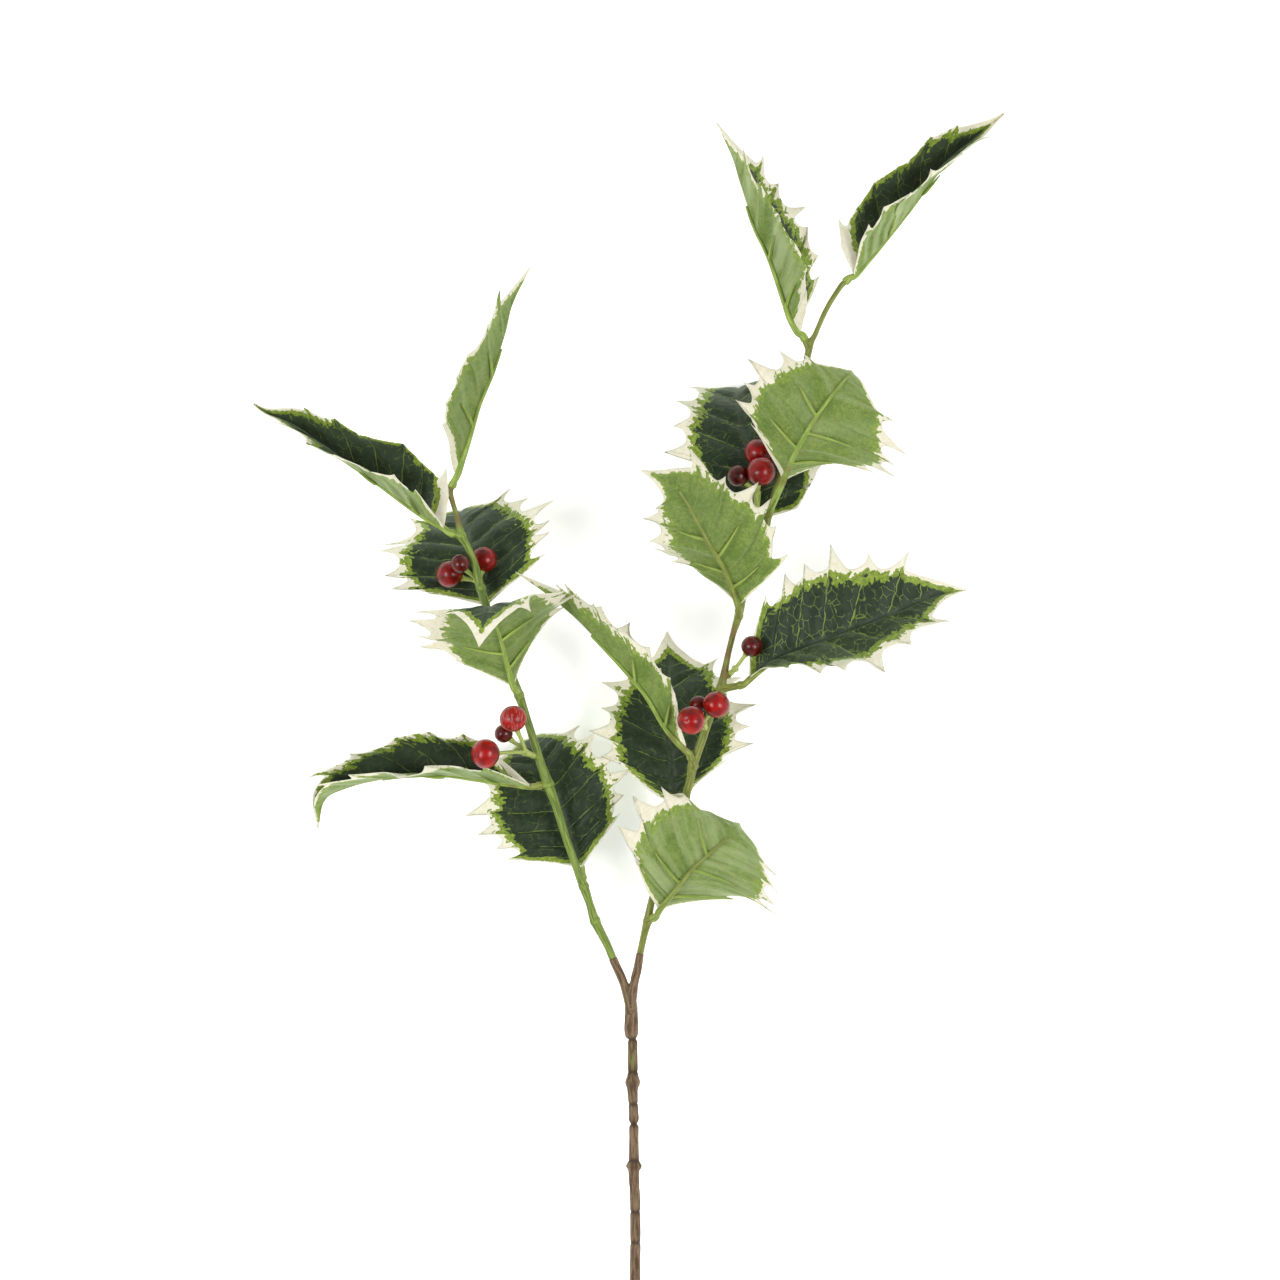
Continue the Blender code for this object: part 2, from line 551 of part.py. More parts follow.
def add_berries(materials):
    for name, cluster in CLUSTERS.items():
        knob = np.array(cluster["knob"], float)
        start = beyond(cluster["root"], cluster["joint"], GAP)
        turn = beyond(cluster["root"], cluster["joint"], GAP + 0.8)
        base = tube([start, turn, beyond(turn, knob, 0.4)], [BOSS_RADIUS, BOSS_RADIUS, KNOB_RADIUS], 7)
        stalks = make_object(f"{name}_berry_stalks", *base, materials["berry_stalk"])
        cutters = []
        for number, (*place, radius) in enumerate(cluster["berries"], 1):
            centre = np.array(place, float)
            end = toward(centre, knob, 0.95 * radius + GAP)
            path = [knob, toward(end, knob, 1.2), end]
            stalk = tube(path, [STALK_RADIUS, STALK_RADIUS, CALYX_RADIUS], 6)
            cutters.append(make_object(f"cut_{name}_stalk_{number}", *stalk))
            colour = "small_berry" if radius < 4.5 else "red_berry"
            berry = berry_mesh(centre, radius, centre - knob)
            make_object(f"{name}_berry_{number}", *berry, materials[colour])
        fuse(stalks, cutters)


def main():
    clear_scene()
    materials = {
        "brown_stem": make_material("brown_stem", (0.18, 0.12, 0.075), 0.6),
        "green_branch": make_material("green_branch", (0.22, 0.32, 0.06), 0.5),
        "leaf_blade": make_material("leaf_blade", (0.035, 0.06, 0.02), 0.5),
        "leaf_rib": make_material("leaf_rib", (0.21, 0.30, 0.03), 0.5),
        "berry_stalk": make_material("berry_stalk", (0.36, 0.42, 0.10), 0.5),
        "red_berry": make_material("red_berry", (0.28, 0.012, 0.012), 0.2),
        "small_berry": make_material("small_berry", (0.09, 0.008, 0.006), 0.2),
    }
    add_stems(materials)
    add_leaves(materials)
    add_berries(materials)


main()
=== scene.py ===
"""The looks of a variegated holly spray of printed fabric leaves and moulded plastic, lying on a
pale table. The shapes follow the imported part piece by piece, in millimetres, and show() scales
each one to metres."""

import math

import bpy
import numpy as np
from mathutils import Matrix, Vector
from mathutils.kdtree import KDTree


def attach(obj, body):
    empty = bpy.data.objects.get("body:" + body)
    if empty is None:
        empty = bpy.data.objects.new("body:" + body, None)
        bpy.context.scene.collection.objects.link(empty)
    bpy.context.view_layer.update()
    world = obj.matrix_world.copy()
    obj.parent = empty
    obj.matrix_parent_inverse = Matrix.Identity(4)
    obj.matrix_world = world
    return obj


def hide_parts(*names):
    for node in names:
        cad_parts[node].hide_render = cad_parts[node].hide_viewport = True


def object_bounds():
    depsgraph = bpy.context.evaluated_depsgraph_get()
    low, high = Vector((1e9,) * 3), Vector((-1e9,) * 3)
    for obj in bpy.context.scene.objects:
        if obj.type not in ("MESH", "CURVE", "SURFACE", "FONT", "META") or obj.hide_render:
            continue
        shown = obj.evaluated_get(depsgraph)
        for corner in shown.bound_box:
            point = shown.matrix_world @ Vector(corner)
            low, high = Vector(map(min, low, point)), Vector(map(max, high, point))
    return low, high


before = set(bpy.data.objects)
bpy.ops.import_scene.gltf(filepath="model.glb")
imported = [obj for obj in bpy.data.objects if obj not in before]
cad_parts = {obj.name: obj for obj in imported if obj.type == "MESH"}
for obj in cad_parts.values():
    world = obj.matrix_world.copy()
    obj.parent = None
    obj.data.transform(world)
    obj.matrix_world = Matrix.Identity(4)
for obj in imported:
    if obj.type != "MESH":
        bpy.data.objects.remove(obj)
low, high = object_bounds()


# --- The studio -----------------------------------------------------------------------------------
# A pale matt table that glows a little, as a lit sweep does, under a dim ceiling and two softboxes
# high on the left and right. The camera looks straight down on the spray.

CAMERA_HEIGHT = 1.447
CAMERA_AIM = (0.0047, 0.0465)
LENS, SENSOR = 100, 36
BOX_SIDE = 0.6
BOX_POWER = 14.0
BOX_DISTANCE = 1.75
BOX_TILT = math.radians(35)
BOX_BACK = 0.1
WALL_GLOW = 0.75
CEILING_GLOW = 0.18
TABLE_GLOW = 0.46
TABLE_HALF = 3
TABLE_DROP = 0.0002
STUDIO_LEVEL = 1.05


class Socket:
    """A shader socket that takes arithmetic, so that a pattern reads as a formula."""

    def __init__(self, tree, link=None):
        self.tree = tree
        self.link = link

    def node(self, kind, settings, inputs, output=0):
        """Adds a node of that type, gives it its settings and inputs, and returns an output."""
        added = self.tree.nodes.new("ShaderNode" + kind)
        for name, value in settings.items():
            setattr(added, name, value)
        for name, value in inputs.items():
            if isinstance(value, Socket):
                self.tree.links.new(value.link, added.inputs[name])
            else:
                added.inputs[name].default_value = value
        return Socket(self.tree, added.outputs[output])

    def math(self, operation, other=0.0, swapped=False):
        first, second = (other, self) if swapped else (self, other)
        return self.node("Math", {"operation": operation}, {0: first, 1: second})

    def __add__(self, other):
        return self.math("ADD", other)

    def __radd__(self, other):
        return self.math("ADD", other, True)

    def __sub__(self, other):
        return self.math("SUBTRACT", other)

    def __rsub__(self, other):
        return self.math("SUBTRACT", other, True)

    def __mul__(self, other):
        return self.math("MULTIPLY", other)

    def __rmul__(self, other):
        return self.math("MULTIPLY", other, True)

    def attribute(self, name, part):
        """A mesh attribute: part 1 is its vector, part 2 its value."""
        return self.node("Attribute", {"attribute_name": name}, {}, part)

    def axis(self, number):
        return self.node("SeparateXYZ", {}, {0: self}, number)

    def joined(self, *axes):
        return self.node("CombineXYZ", {}, dict(enumerate(axes)))

    def scaled(self, *scales):
        return self.node("VectorMath", {"operation": "MULTIPLY"}, {0: self, 1: scales})

    def noise(self, scale, detail=3.0):
        return self.node("TexNoise", {}, {"Vector": self, "Scale": scale, "Detail": detail})

    def ramp(self, start, end):
        """Goes smoothly from 0 at start to 1 at end; start may be the larger."""
        if start > end:
            return 1 - self.ramp(end, start)
        settings = {"interpolation_type": "SMOOTHSTEP"}
        return self.node("MapRange", settings, {0: self, 1: start, 2: end})

    def dapple(self, scale, detail, paints):
        """The first paint with soft patches of the second."""
        return self.noise(scale, detail).ramp(0.3, 0.7).mix(*paints)

    def mix(self, first, second):
        """This socket as the share of the second colour over the first."""
        pair = [one if isinstance(one, Socket) else (*one, 1.0) for one in (first, second)]
        return self.node("Mix", {"data_type": "RGBA"}, {0: self, 6: pair[0], 7: pair[1]}, 2)

    def wire(self, shader, name):
        self.tree.links.new(self.link, shader.inputs[name])


def paint(*levels):
    """The linear colour of a paint that has those 0-255 sRGB levels under this studio's light."""
    shares = np.array(levels) / 255
    linear = np.where(shares > 0.04045, ((shares + 0.055) / 1.055) ** 2.4, shares / 12.92)
    return tuple(float(share) for share in linear / STUDIO_LEVEL)


def new_material(name, roughness, specular):
    """A material, its Principled shader, and a socket to start patterns from."""
    material = bpy.data.materials.new(name)
    material.use_nodes = True
    shader = material.node_tree.nodes["Principled BSDF"]
    shader.inputs["Roughness"].default_value = roughness
    shader.inputs["Specular IOR Level"].default_value = specular
    return material, shader, Socket(material.node_tree)


def add_bump(height, shader, strength, distance):
    """Wires a height, in millimetres once scaled by the distance in metres, to the normal."""
    bump = height.node("Bump", {}, {"Strength": strength, "Distance": distance, "Height": height})
    bump.wire(shader, "Normal")


def put(name, data):
    thing = bpy.data.objects.new(name, data)
    bpy.context.scene.collection.objects.link(thing)
    return thing


camera_data = bpy.data.cameras.new("camera")
camera_data.lens = LENS
camera_data.sensor_width = SENSOR
camera = put("camera", camera_data)
middle = (low + high) / 2
camera.location = (middle.x + CAMERA_AIM[0], middle.y + CAMERA_AIM[1], CAMERA_HEIGHT)
bpy.context.scene.camera = camera
bpy.context.scene.view_settings.view_transform = "Standard"

for side in (-1, 1):
    box_data = bpy.data.lights.new("softbox", "AREA")
    box_data.size = BOX_SIDE
    box_data.energy = BOX_POWER
    box = put("softbox", box_data)
    tilt = BOX_TILT * side
    aside, height = BOX_DISTANCE * math.sin(tilt), BOX_DISTANCE * math.cos(tilt)
    box.location = (middle.x + aside, middle.y - BOX_BACK, height)
    box.rotation_euler = (0, tilt, 0)

world = bpy.data.worlds.new("studio")
world.use_nodes = True
bpy.context.scene.world = world
start = Socket(world.node_tree)
upwards = start.node("TexCoord", {}, {}).axis(2)
glow = upwards.ramp(0.35, 0.9).mix((WALL_GLOW,) * 3, (CEILING_GLOW,) * 3)
glow.wire(world.node_tree.nodes["Background"], "Color")

table_mesh = bpy.data.meshes.new("table")
corners = ((-1, -1), (1, -1), (1, 1), (-1, 1))
corners = [(TABLE_HALF * x, TABLE_HALF * y, -TABLE_DROP) for x, y in corners]
table_mesh.from_pydata(corners, [], [(0, 1, 2, 3)])
table = put("table", table_mesh)
card, card_shader, start = new_material("table_card", 0.9, 0.1)
grain = start.node("TexCoord", {}, {}, 3).noise(420.0)
grain.ramp(0.2, 0.8).mix((0.93, 0.93, 0.92), (0.95, 0.95, 0.945)).wire(card_shader, "Base Color")
card_shader.inputs["Emission Color"].default_value = (1, 1, 1, 1)
card_shader.inputs["Emission Strength"].default_value = TABLE_GLOW
table_mesh.materials.append(card)


# --- The main stem --------------------------------------------------------------------------------
# One brown moulding of soft plastic over a wire: a round bar with sheath-like nodes that flare and
# pinch, ring grooves, lengthwise grain, and two arms that fork to the branches.

TRUNK = [
    (2, -257.5, 2.1, 2.2), (2, -218.5, 6.7, 2.15), (2, -186.5, 10.3, 2.1), (1.5, -170.5, 12.0, 2.2),
    (1.5, -167.5, 12.4, 3.0), (1.5, -163, 12.8, 2.1), (1.5, -150, 14.3, 1.9), (1, -137, 15.7, 2.1),
    (1, -133.5, 16.1, 2.9), (1, -129, 16.6, 2.15), (1, -117, 17.9, 1.95), (0.5, -112.5, 18.4, 2.8),
    (0.5, -104.5, 19.3, 2.6), (0, -98, 20.1, 2.2),
]
LEFT_SEAM = (-7.0, -82.5, 22.1)
RIGHT_SEAM = (4.0, -80.5, 22.1)
LEFT_ARM = [
    (0.2, -104, 19.4, 1.8), (-2.5, -93, 20.8, 1.75), (-5.5, -86, 21.6, 1.75), (*LEFT_SEAM, 1.7),
]
RIGHT_ARM = [
    (0.4, -104, 19.4, 1.8), (1.5, -93.5, 20.7, 1.75), (3, -86.5, 21.5, 1.75), (*RIGHT_SEAM, 1.5),
]
# Grooves round the stem: y, depth and width. A negative depth is a raised lip.
STEM_GROOVES = [
    (-198.5, 0.45, 0.5), (-186, 0.45, 0.5), (-176, 0.15, 0.8), (-167.2, -0.25, 0.6),
    (-164.9, 0.3, 0.7), (-150, 0.75, 0.7), (-147.6, -0.2, 1.0), (-141.8, 0.3, 0.5),
    (-132.4, -0.2, 1.2), (-128.6, 0.25, 0.6), (-115.4, 0.7, 0.7), (-98, 0.15, 0.8),
    (-84, -0.25, 0.9),
]
# Grooves deeper than this are painted darker, a little past their edges.
DARK_DEPTH = 0.2
DARK_SPREAD = 0.5
# Where green shows through the brown: y, length, strength, and the stretch of x.
GREEN_PATCHES = [(-124, 5.5, 1.0, (-0.3, 1.5)), (-101, 4, 0.5, (-9, -1.2))]
STEM_VOXEL = 0.3


def unit(rows):
    """Each row scaled to length 1."""
    rows = np.asarray(rows, float)
    return rows / np.linalg.norm(rows, axis=-1, keepdims=True)


def smooth_line(points, steps=10):
    """A Catmull-Rom curve through the points."""
    points = np.array(points, float)
    points = np.vstack([2 * points[0] - points[1], points, 2 * points[-1] - points[-2]])
    curve = []
    for a, b, c, d in zip(points, points[1:], points[2:], points[3:]):
        for t in np.arange(steps) / steps:
            curve.append(0.5 * (2 * b + (c - a) * t + (2 * a - 5 * b + 4 * c - d) * t**2
                                + (3 * b - a - 3 * c + d) * t**3))
    curve.append(points[-2])
    return np.array(curve)


class Bar:
    """A round bar along a smooth line through rows of x, y, z and radius."""

    def __init__(self, rows, steps=8):
        line = smooth_line(rows, steps)
        self.centres, self.radii = line[:, :3], line[:, 3].copy()
        legs = np.linalg.norm(np.diff(self.centres, axis=0), axis=1)
        self.marks = np.concatenate([[0.0], np.cumsum(legs)])
        self.tangents = unit(np.gradient(self.centres, self.marks, axis=0))
        upright = abs(self.tangents[0][2]) >= 0.9
        out = np.cross(self.tangents[0], (1.0, 0, 0) if upright else (0, 0, 1.0))
        outs = []
        for tangent in self.tangents:
            out = unit(out - tangent * out.dot(tangent))
            outs.append(out)
        self.outs = np.array(outs)
        self.asides = np.cross(self.tangents, self.outs)

    def mesh(self, sides=20):
        """Verts and faces of the bar, closed at both ends."""
        turns = 2 * math.pi * np.arange(sides) / sides
        ring = self.outs[:, None] * np.cos(turns)[:, None]
        ring = ring + self.asides[:, None] * np.sin(turns)[:, None]
        verts = (self.centres[:, None] + ring * self.radii[:, None, None]).reshape(-1, 3)
        faces = []
        for row in range(len(self.centres) - 1):
            for side in range(sides):
                here, there = row * sides + side, row * sides + (side + 1) % sides
                faces.append((here, there, there + sides, here + sides))
        faces.append(tuple(reversed(range(sides))))
        faces.append(tuple(range(len(verts) - sides, len(verts))))
        return verts, faces


def points_of(mesh):
    points = np.empty(len(mesh.vertices) * 3)
    mesh.vertices.foreach_get("co", points)
    return points.reshape(-1, 3)


def normals_of(mesh):
    normals = np.empty(len(mesh.vertices) * 3, np.float32)
    mesh.vertex_normals.foreach_get("vector", normals)
    return normals.reshape(-1, 3).astype(float)


def add_attribute(mesh, name, values):
    values = np.ascontiguousarray(values, np.float32)
    kind, field = ("FLOAT_VECTOR", "vector") if values.ndim == 2 else ("FLOAT", "value")
    mesh.attributes.new(name, kind, "POINT").data.foreach_set(field, values.ravel())


def melt(name, bars, voxel, rounds):
    """The bars melted into one closed mesh: remeshed in voxels, then smoothed."""
    verts, faces = [], []
    for bar in bars:
        bar_verts, bar_faces = bar.mesh()
        faces += [tuple(corner + len(verts) for corner in face) for face in bar_faces]
        verts += list(bar_verts)
    rough = bpy.data.meshes.new(name)
    rough.from_pydata(verts, [], faces)
    body = put(name, rough)
    remesh = body.modifiers.new("voxels", "REMESH")
    remesh.mode = "VOXEL"
    remesh.voxel_size = voxel
    smooth = body.modifiers.new("smooth", "SMOOTH")
    smooth.factor = 0.5
    smooth.iterations = rounds
    graph = bpy.context.evaluated_depsgraph_get()
    mesh = bpy.data.meshes.new_from_object(body.evaluated_get(graph))
    bpy.data.objects.remove(body)
    return mesh


def flow_round(mesh, bars):
    """For each point, the turn round the bar nearest it and the length along that bar."""
    points = points_of(mesh)
    centres, outs, asides, tangents = (
        np.vstack([getattr(bar, field) for bar in bars])
        for field in ("centres", "outs", "asides", "tangents")
    )
    marks = np.concatenate([bar.marks for bar in bars])
    tree = KDTree(len(marks))
    for number, centre in enumerate(centres):
        tree.insert(centre, number)
    tree.balance()
    nearest = np.array([tree.find(point)[1] for point in points])
    offset = points - centres[nearest]
    across = (offset * outs[nearest]).sum(1)
    aside = (offset * asides[nearest]).sum(1)
    along = marks[nearest] + (offset * tangents[nearest]).sum(1)
    return np.arctan2(aside, across), along


def moulding(name, bars, voxel, rounds, seed, depth):
    """One moulding of the bars with soft lengthwise ridges, and the flow that its grain follows
    stored as an attribute."""
    mesh = melt(name, bars, voxel, rounds)
    turn, along = flow_round(mesh, bars)
    ridges = (np.sin(5 * turn + 0.11 * along + seed)
              + 0.7 * np.sin(9 * turn - 0.07 * along + 2 * seed)
              + 0.6 * np.sin(3 * turn + 0.35 * along) + 0.5 * np.sin(0.9 * along + seed))
    points = points_of(mesh) + normals_of(mesh) * (depth * ridges)[:, None]
    mesh.vertices.foreach_set("co", points.ravel())
    flow = np.stack([1.6 * np.cos(turn) + seed, 1.6 * np.sin(turn), along], axis=1)
    add_attribute(mesh, "flow", flow)
    return mesh


def show(name, mesh, node):
    """Scales a finished mesh to metres and shows it in place of its CAD node."""
    mesh.transform(Matrix.Scale(0.001, 4))
    mesh.shade_smooth()
    piece = put(name, mesh)
    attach(piece, "root")
    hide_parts(node)


trunk = Bar(TRUNK, 30)
for groove_y, depth, width in STEM_GROOVES:
    trunk.radii -= depth * np.exp(-(((trunk.centres[:, 1] - groove_y) / width) ** 2))
stem_mesh = moulding("stem", [trunk, Bar(LEFT_ARM), Bar(RIGHT_ARM)], STEM_VOXEL, 3, 0.4, 0.045)
stem_x, stem_y, _ = points_of(stem_mesh).T
dark = np.zeros(len(stem_y))
for groove_y, depth, width in STEM_GROOVES:
    if depth > DARK_DEPTH:
        dark += np.exp(-(((stem_y - groove_y) / (width + DARK_SPREAD)) ** 2))
add_attribute(stem_mesh, "groove", np.clip(dark, 0, 1))
green = np.zeros(len(stem_y))
for patch_y, length, strength, (left, right) in GREEN_PATCHES:
    patch = strength * np.exp(-(((stem_y - patch_y) / length) ** 2))
    green = np.maximum(green, patch * (left < stem_x) * (stem_x < right))
add_attribute(stem_mesh, "green", green)

brown, shader, start = new_material("stem_brown", 0.6, 0.25)
flow = start.attribute("flow", 1)
streaks = flow.scaled(1, 1, 0.1).noise(1.5, 6.0)
fine = flow.scaled(1, 1, 0.3).noise(4.5, 4.0)
blotches = flow.scaled(0.5, 0.5, 0.22).noise(1.0)
bark = streaks.ramp(0.35, 0.66).mix(paint(92, 68, 48), paint(146, 124, 96))
bark = (fine.ramp(0.45, 0.72) * 0.5).mix(bark, paint(74, 54, 40))
bark = (blotches.ramp(0.5, 0.75) * 0.45).mix(bark, paint(132, 112, 92))
bark = (start.attribute("green", 2) * streaks.ramp(0.35, 0.6)).mix(bark, paint(118, 128, 58))
# Darker colour in and just past the deep grooves.
bark = (start.attribute("groove", 2) * 0.75).mix(bark, paint(52, 36, 25))
bark.wire(shader, "Base Color")
(0.5 + 0.25 * fine).wire(shader, "Roughness")
add_bump(streaks + 0.5 * fine, shader, 0.8, 0.0004)
stem_mesh.materials.append(brown)
show("stem_surface", stem_mesh, "main_stem")


# --- The branches ---------------------------------------------------------------------------------
# Two green plastic mouldings over the stem's wires, swollen at each node, with a short stub for
# every leaf and berry cluster that plugs on. Brown paint is brushed round the nodes.

LEFT_BRANCH = [
    (*LEFT_SEAM, 1.6), (-9.5, -76.5, 23, 1.6), (-14, -67.5, 24.4, 1.95), (-16, -61, 25.3, 1.6),
    (-18.5, -53.5, 26.5, 1.9), (-21, -47, 27.5, 1.6), (-25.5, -34, 29.5, 1.6),
    (-29.5, -21, 31.6, 1.7), (-32.5, -12.5, 33, 2.1), (-35.5, -4, 34.2, 1.75),
    (-41, 14, 36.5, 1.6), (-44, 23, 37.5, 1.85), (-46.5, 30.5, 38.5, 1.55), (-51.5, 43, 39.8, 1.5),
    (-56, 56, 41, 1.6), (-59, 65.5, 41.8, 1.75), (-61.5, 75.5, 42.6, 1.45),
    (-64.5, 82.5, 43.2, 1.45), (-66.5, 86, 43.6, 1.75), (-68, 92.5, 44.2, 1.1),
    (-70, 99.5, 44.9, 1.05), (-71, 103.5, 45.3, 1.3), (-70, 106, 45.6, 1.3),
]
RIGHT_BRANCH = [
    (*RIGHT_SEAM, 1.4), (5.5, -73.5, 23.2, 1.4), (7, -67.5, 24.1, 1.7), (8.5, -60, 25.3, 1.45),
    (11, -50, 26.9, 1.4), (15, -39, 28.6, 1.4), (18.5, -27.5, 30.2, 1.5), (22, -17.5, 31.6, 1.7),
    (24, -10.5, 32.6, 1.7), (25, -5, 33.3, 1.95), (28, 3.5, 34.4, 1.75), (31, 12.5, 35.6, 1.7),
    (34, 20.5, 36.7, 1.6), (36, 26, 37.5, 1.75), (37.5, 32.5, 38.3, 1.45), (39, 40, 39.3, 1.2),
    (41, 48, 40.3, 1.25), (43, 54.5, 41, 1.6), (45.5, 65, 42.2, 1.3), (50, 79.5, 43.8, 1.35),
    (53.5, 90.5, 45, 1.7), (57.5, 104, 46.2, 1.35), (62.5, 120.5, 47.3, 1.25),
    (67, 139.5, 48.2, 1.2), (70.5, 159.5, 49, 1.4), (73, 165.5, 49.4, 1.05),
    (77.5, 175.5, 50, 1.05), (82.5, 183.5, 50.5, 1.1), (85, 186, 50.8, 1.2),
]
# The last two leaves plug on the branches' own ends.
BRANCH_ENDS = (LEFT_BRANCH[-2][:3], RIGHT_BRANCH[-2][:3])
# Where each leaf and berry cluster plugs on: the stub's root on the branch, and its end.
STUBS = {
    "left_leaf_1": ((-18.5, -54, 26.5), (-19, -50, 23.2)),
    "left_leaf_2": ((-32.5, -12.5, 33), (-36, -13, 34)),
    "left_leaf_3": ((-44, 23, 37.5), (-45, 25, 41.5)),
    "left_leaf_4": ((-56.5, 55.5, 41), (-56.5, 56.5, 36.8)),
    "left_leaf_5": ((-66.5, 86, 43.6), (-70, 87, 44)),
    "left_leaf_6": (BRANCH_ENDS[0], (-70, 106, 45.6)),
    "right_leaf_1": ((7, -67.5, 24.1), (9.5, -66, 27)),
    "right_leaf_2": ((19.5, -25.5, 30.6), (20, -23.5, 26.5)),
    "right_leaf_3": ((25, -5, 33.3), (24, -1.5, 35.5)),
    "right_leaf_4": ((36, 25.5, 37.5), (43.5, 27, 39.5)),
    "right_leaf_5": ((43, 54.5, 41), (43, 56.5, 44.5)),
    "right_leaf_6": ((53, 89, 45), (54, 91, 40.7)),
    "right_leaf_7": ((53.5, 90.5, 45), (54.5, 94, 48.3)),
    "right_leaf_8": ((70.5, 159.5, 49), (68.5, 163.5, 49.5)),
    "right_leaf_9": (BRANCH_ENDS[1], (85, 186, 50.8)),
    "left_low": ((-37, -1.5, 34.6), (-38.6, -0.8, 37.2)),
    "left_high": ((-59, 65.5, 41.8), (-59.6, 66.7, 38.6)),
    "right_low": ((30, 9, 35.1), (29.6, 10.4, 38)),
    "right_single": ((38.5, 30.5, 38.3), (40.2, 32.2, 40.4)),
    "right_high": ((53.5, 90.5, 45), (50.9, 93.2, 46)),
}
LEAF_STUB_RADIUS = 1.5
BERRY_STUB_RADIUS = 1.15
STUB_WAIST = 0.9
STUB_SCAR = 1.6
# A swelling of more than this radius is a node, with a low knob round it.
NODE_RADIUS = 1.55
BRANCH_VOXEL = 0.32
# The stretch of each branch, from one y to another, that is brushed brown all round.
BROWNED = {"left": (91, 105), "right": (31, 52)}
BRANCH_PAINTS = {
    "left": (paint(92, 118, 36), paint(144, 166, 74)),
    "right": (paint(102, 114, 36), paint(148, 156, 74)),
}
NODE_BROWN = paint(120, 92, 56)


def toward(begin, end, distance):
    """The point that lies the distance from begin on the way to end."""
    begin, end = np.array(begin, float), np.array(end, float)
    return begin + unit(end - begin) * distance


def brush_brown(mesh, *touches):
    """Stores how much brown is brushed on. Each touch is its spots, how far it reaches round
    them and how strong it is."""
    points = points_of(mesh)
    scar = np.zeros(len(points))
    for spots, reach, strength in touches:
        for spot in spots:
            faded = np.exp(-(((points - np.array(spot)) ** 2).sum(1)) / reach**2)
            scar = np.maximum(scar, strength * faded)
    add_attribute(mesh, "scar", scar)


def plastic(name, dark, light, brown_paint):
    """Green moulded plastic with lengthwise streaks, and brown brushed where scar is high."""
    material, shader, start = new_material(name, 0.42, 0.4)
    flow = start.attribute("flow", 1)
    streaks = flow.scaled(1, 1, 0.09).noise(1.7, 5.0)
    fine = flow.scaled(1, 1, 0.35).noise(5.0, 3.0)
    green = streaks.ramp(0.34, 0.68).mix(dark, light)
    green = (fine.ramp(0.56, 0.75) * 0.35).mix(green, light)
    stains = flow.scaled(1, 1, 0.05).noise(2.8, 4.0).ramp(0.57, 0.66)
    green = (stains * 0.5).mix(green, brown_paint)
    scar = (start.attribute("scar", 2) + 0.5 * (fine - 0.5)).ramp(0.35, 0.8)
    (scar * 0.85).mix(green, brown_paint).wire(shader, "Base Color")
    (0.36 + 0.22 * fine + 0.15 * scar).wire(shader, "Roughness")
    add_bump(streaks + 0.4 * fine, shader, 0.6, 0.0003)
    return material


def knob(before, node, after):
    """The low knob round a node of the branch."""
    *centre, radius = node
    below, above = toward(centre, before[:3], 0.9), toward(centre, after[:3], 1.0)
    return Bar([(*below, radius * 1.1), (*centre, radius * 1.15), (*above, radius * 1.13)])


def stub(root, joint, radius):
    """A stub with a slight waist, from its root on the branch to its end."""
    waist = toward(joint, root, STUB_WAIST)
    return Bar([(*root, radius * 1.1), (*waist, radius * 0.92), (*joint, radius * 1.02)])


for side, path, seed in (("left", LEFT_BRANCH, 0.9), ("right", RIGHT_BRANCH, 2.3)):
    bars, scars = [Bar(path, 10)], []
    for before, node, after in zip(path, path[1:], path[2:]):
        if node[3] >= max(before[3], after[3]) and node[3] > NODE_RADIUS:
            bars.append(knob(before, node, after))
    for owner, (root, joint) in STUBS.items():
        if owner.startswith(side) and root not in BRANCH_ENDS:
            radius = LEAF_STUB_RADIUS if "leaf" in owner else BERRY_STUB_RADIUS
            bars.append(stub(root, joint, radius))
            scars.append(toward(root, joint, STUB_SCAR))
    mesh = moulding(f"{side}_branch", bars, BRANCH_VOXEL, 4, seed, 0.03)
    browned = [row[:3] for row in path if BROWNED[side][0] < row[1] < BROWNED[side][1]]
    brush_brown(mesh, (scars, 1.7, 0.8), ([path[0][:3]], 1.6, 1.0), (browned, 6.0, 0.72))
    mesh.materials.append(plastic(f"{side}_branch_green", *BRANCH_PAINTS[side], NODE_BROWN))
    show(f"{side}_branch_surface", mesh, f"{side}_branch")


# --- The leaf ribs --------------------------------------------------------------------------------
# Under each blade a yellow-green moulded rib with side ribs stiffens the fabric and runs back as a
# petiole whose cup slides over the branch's stub. The blade is glued along it.

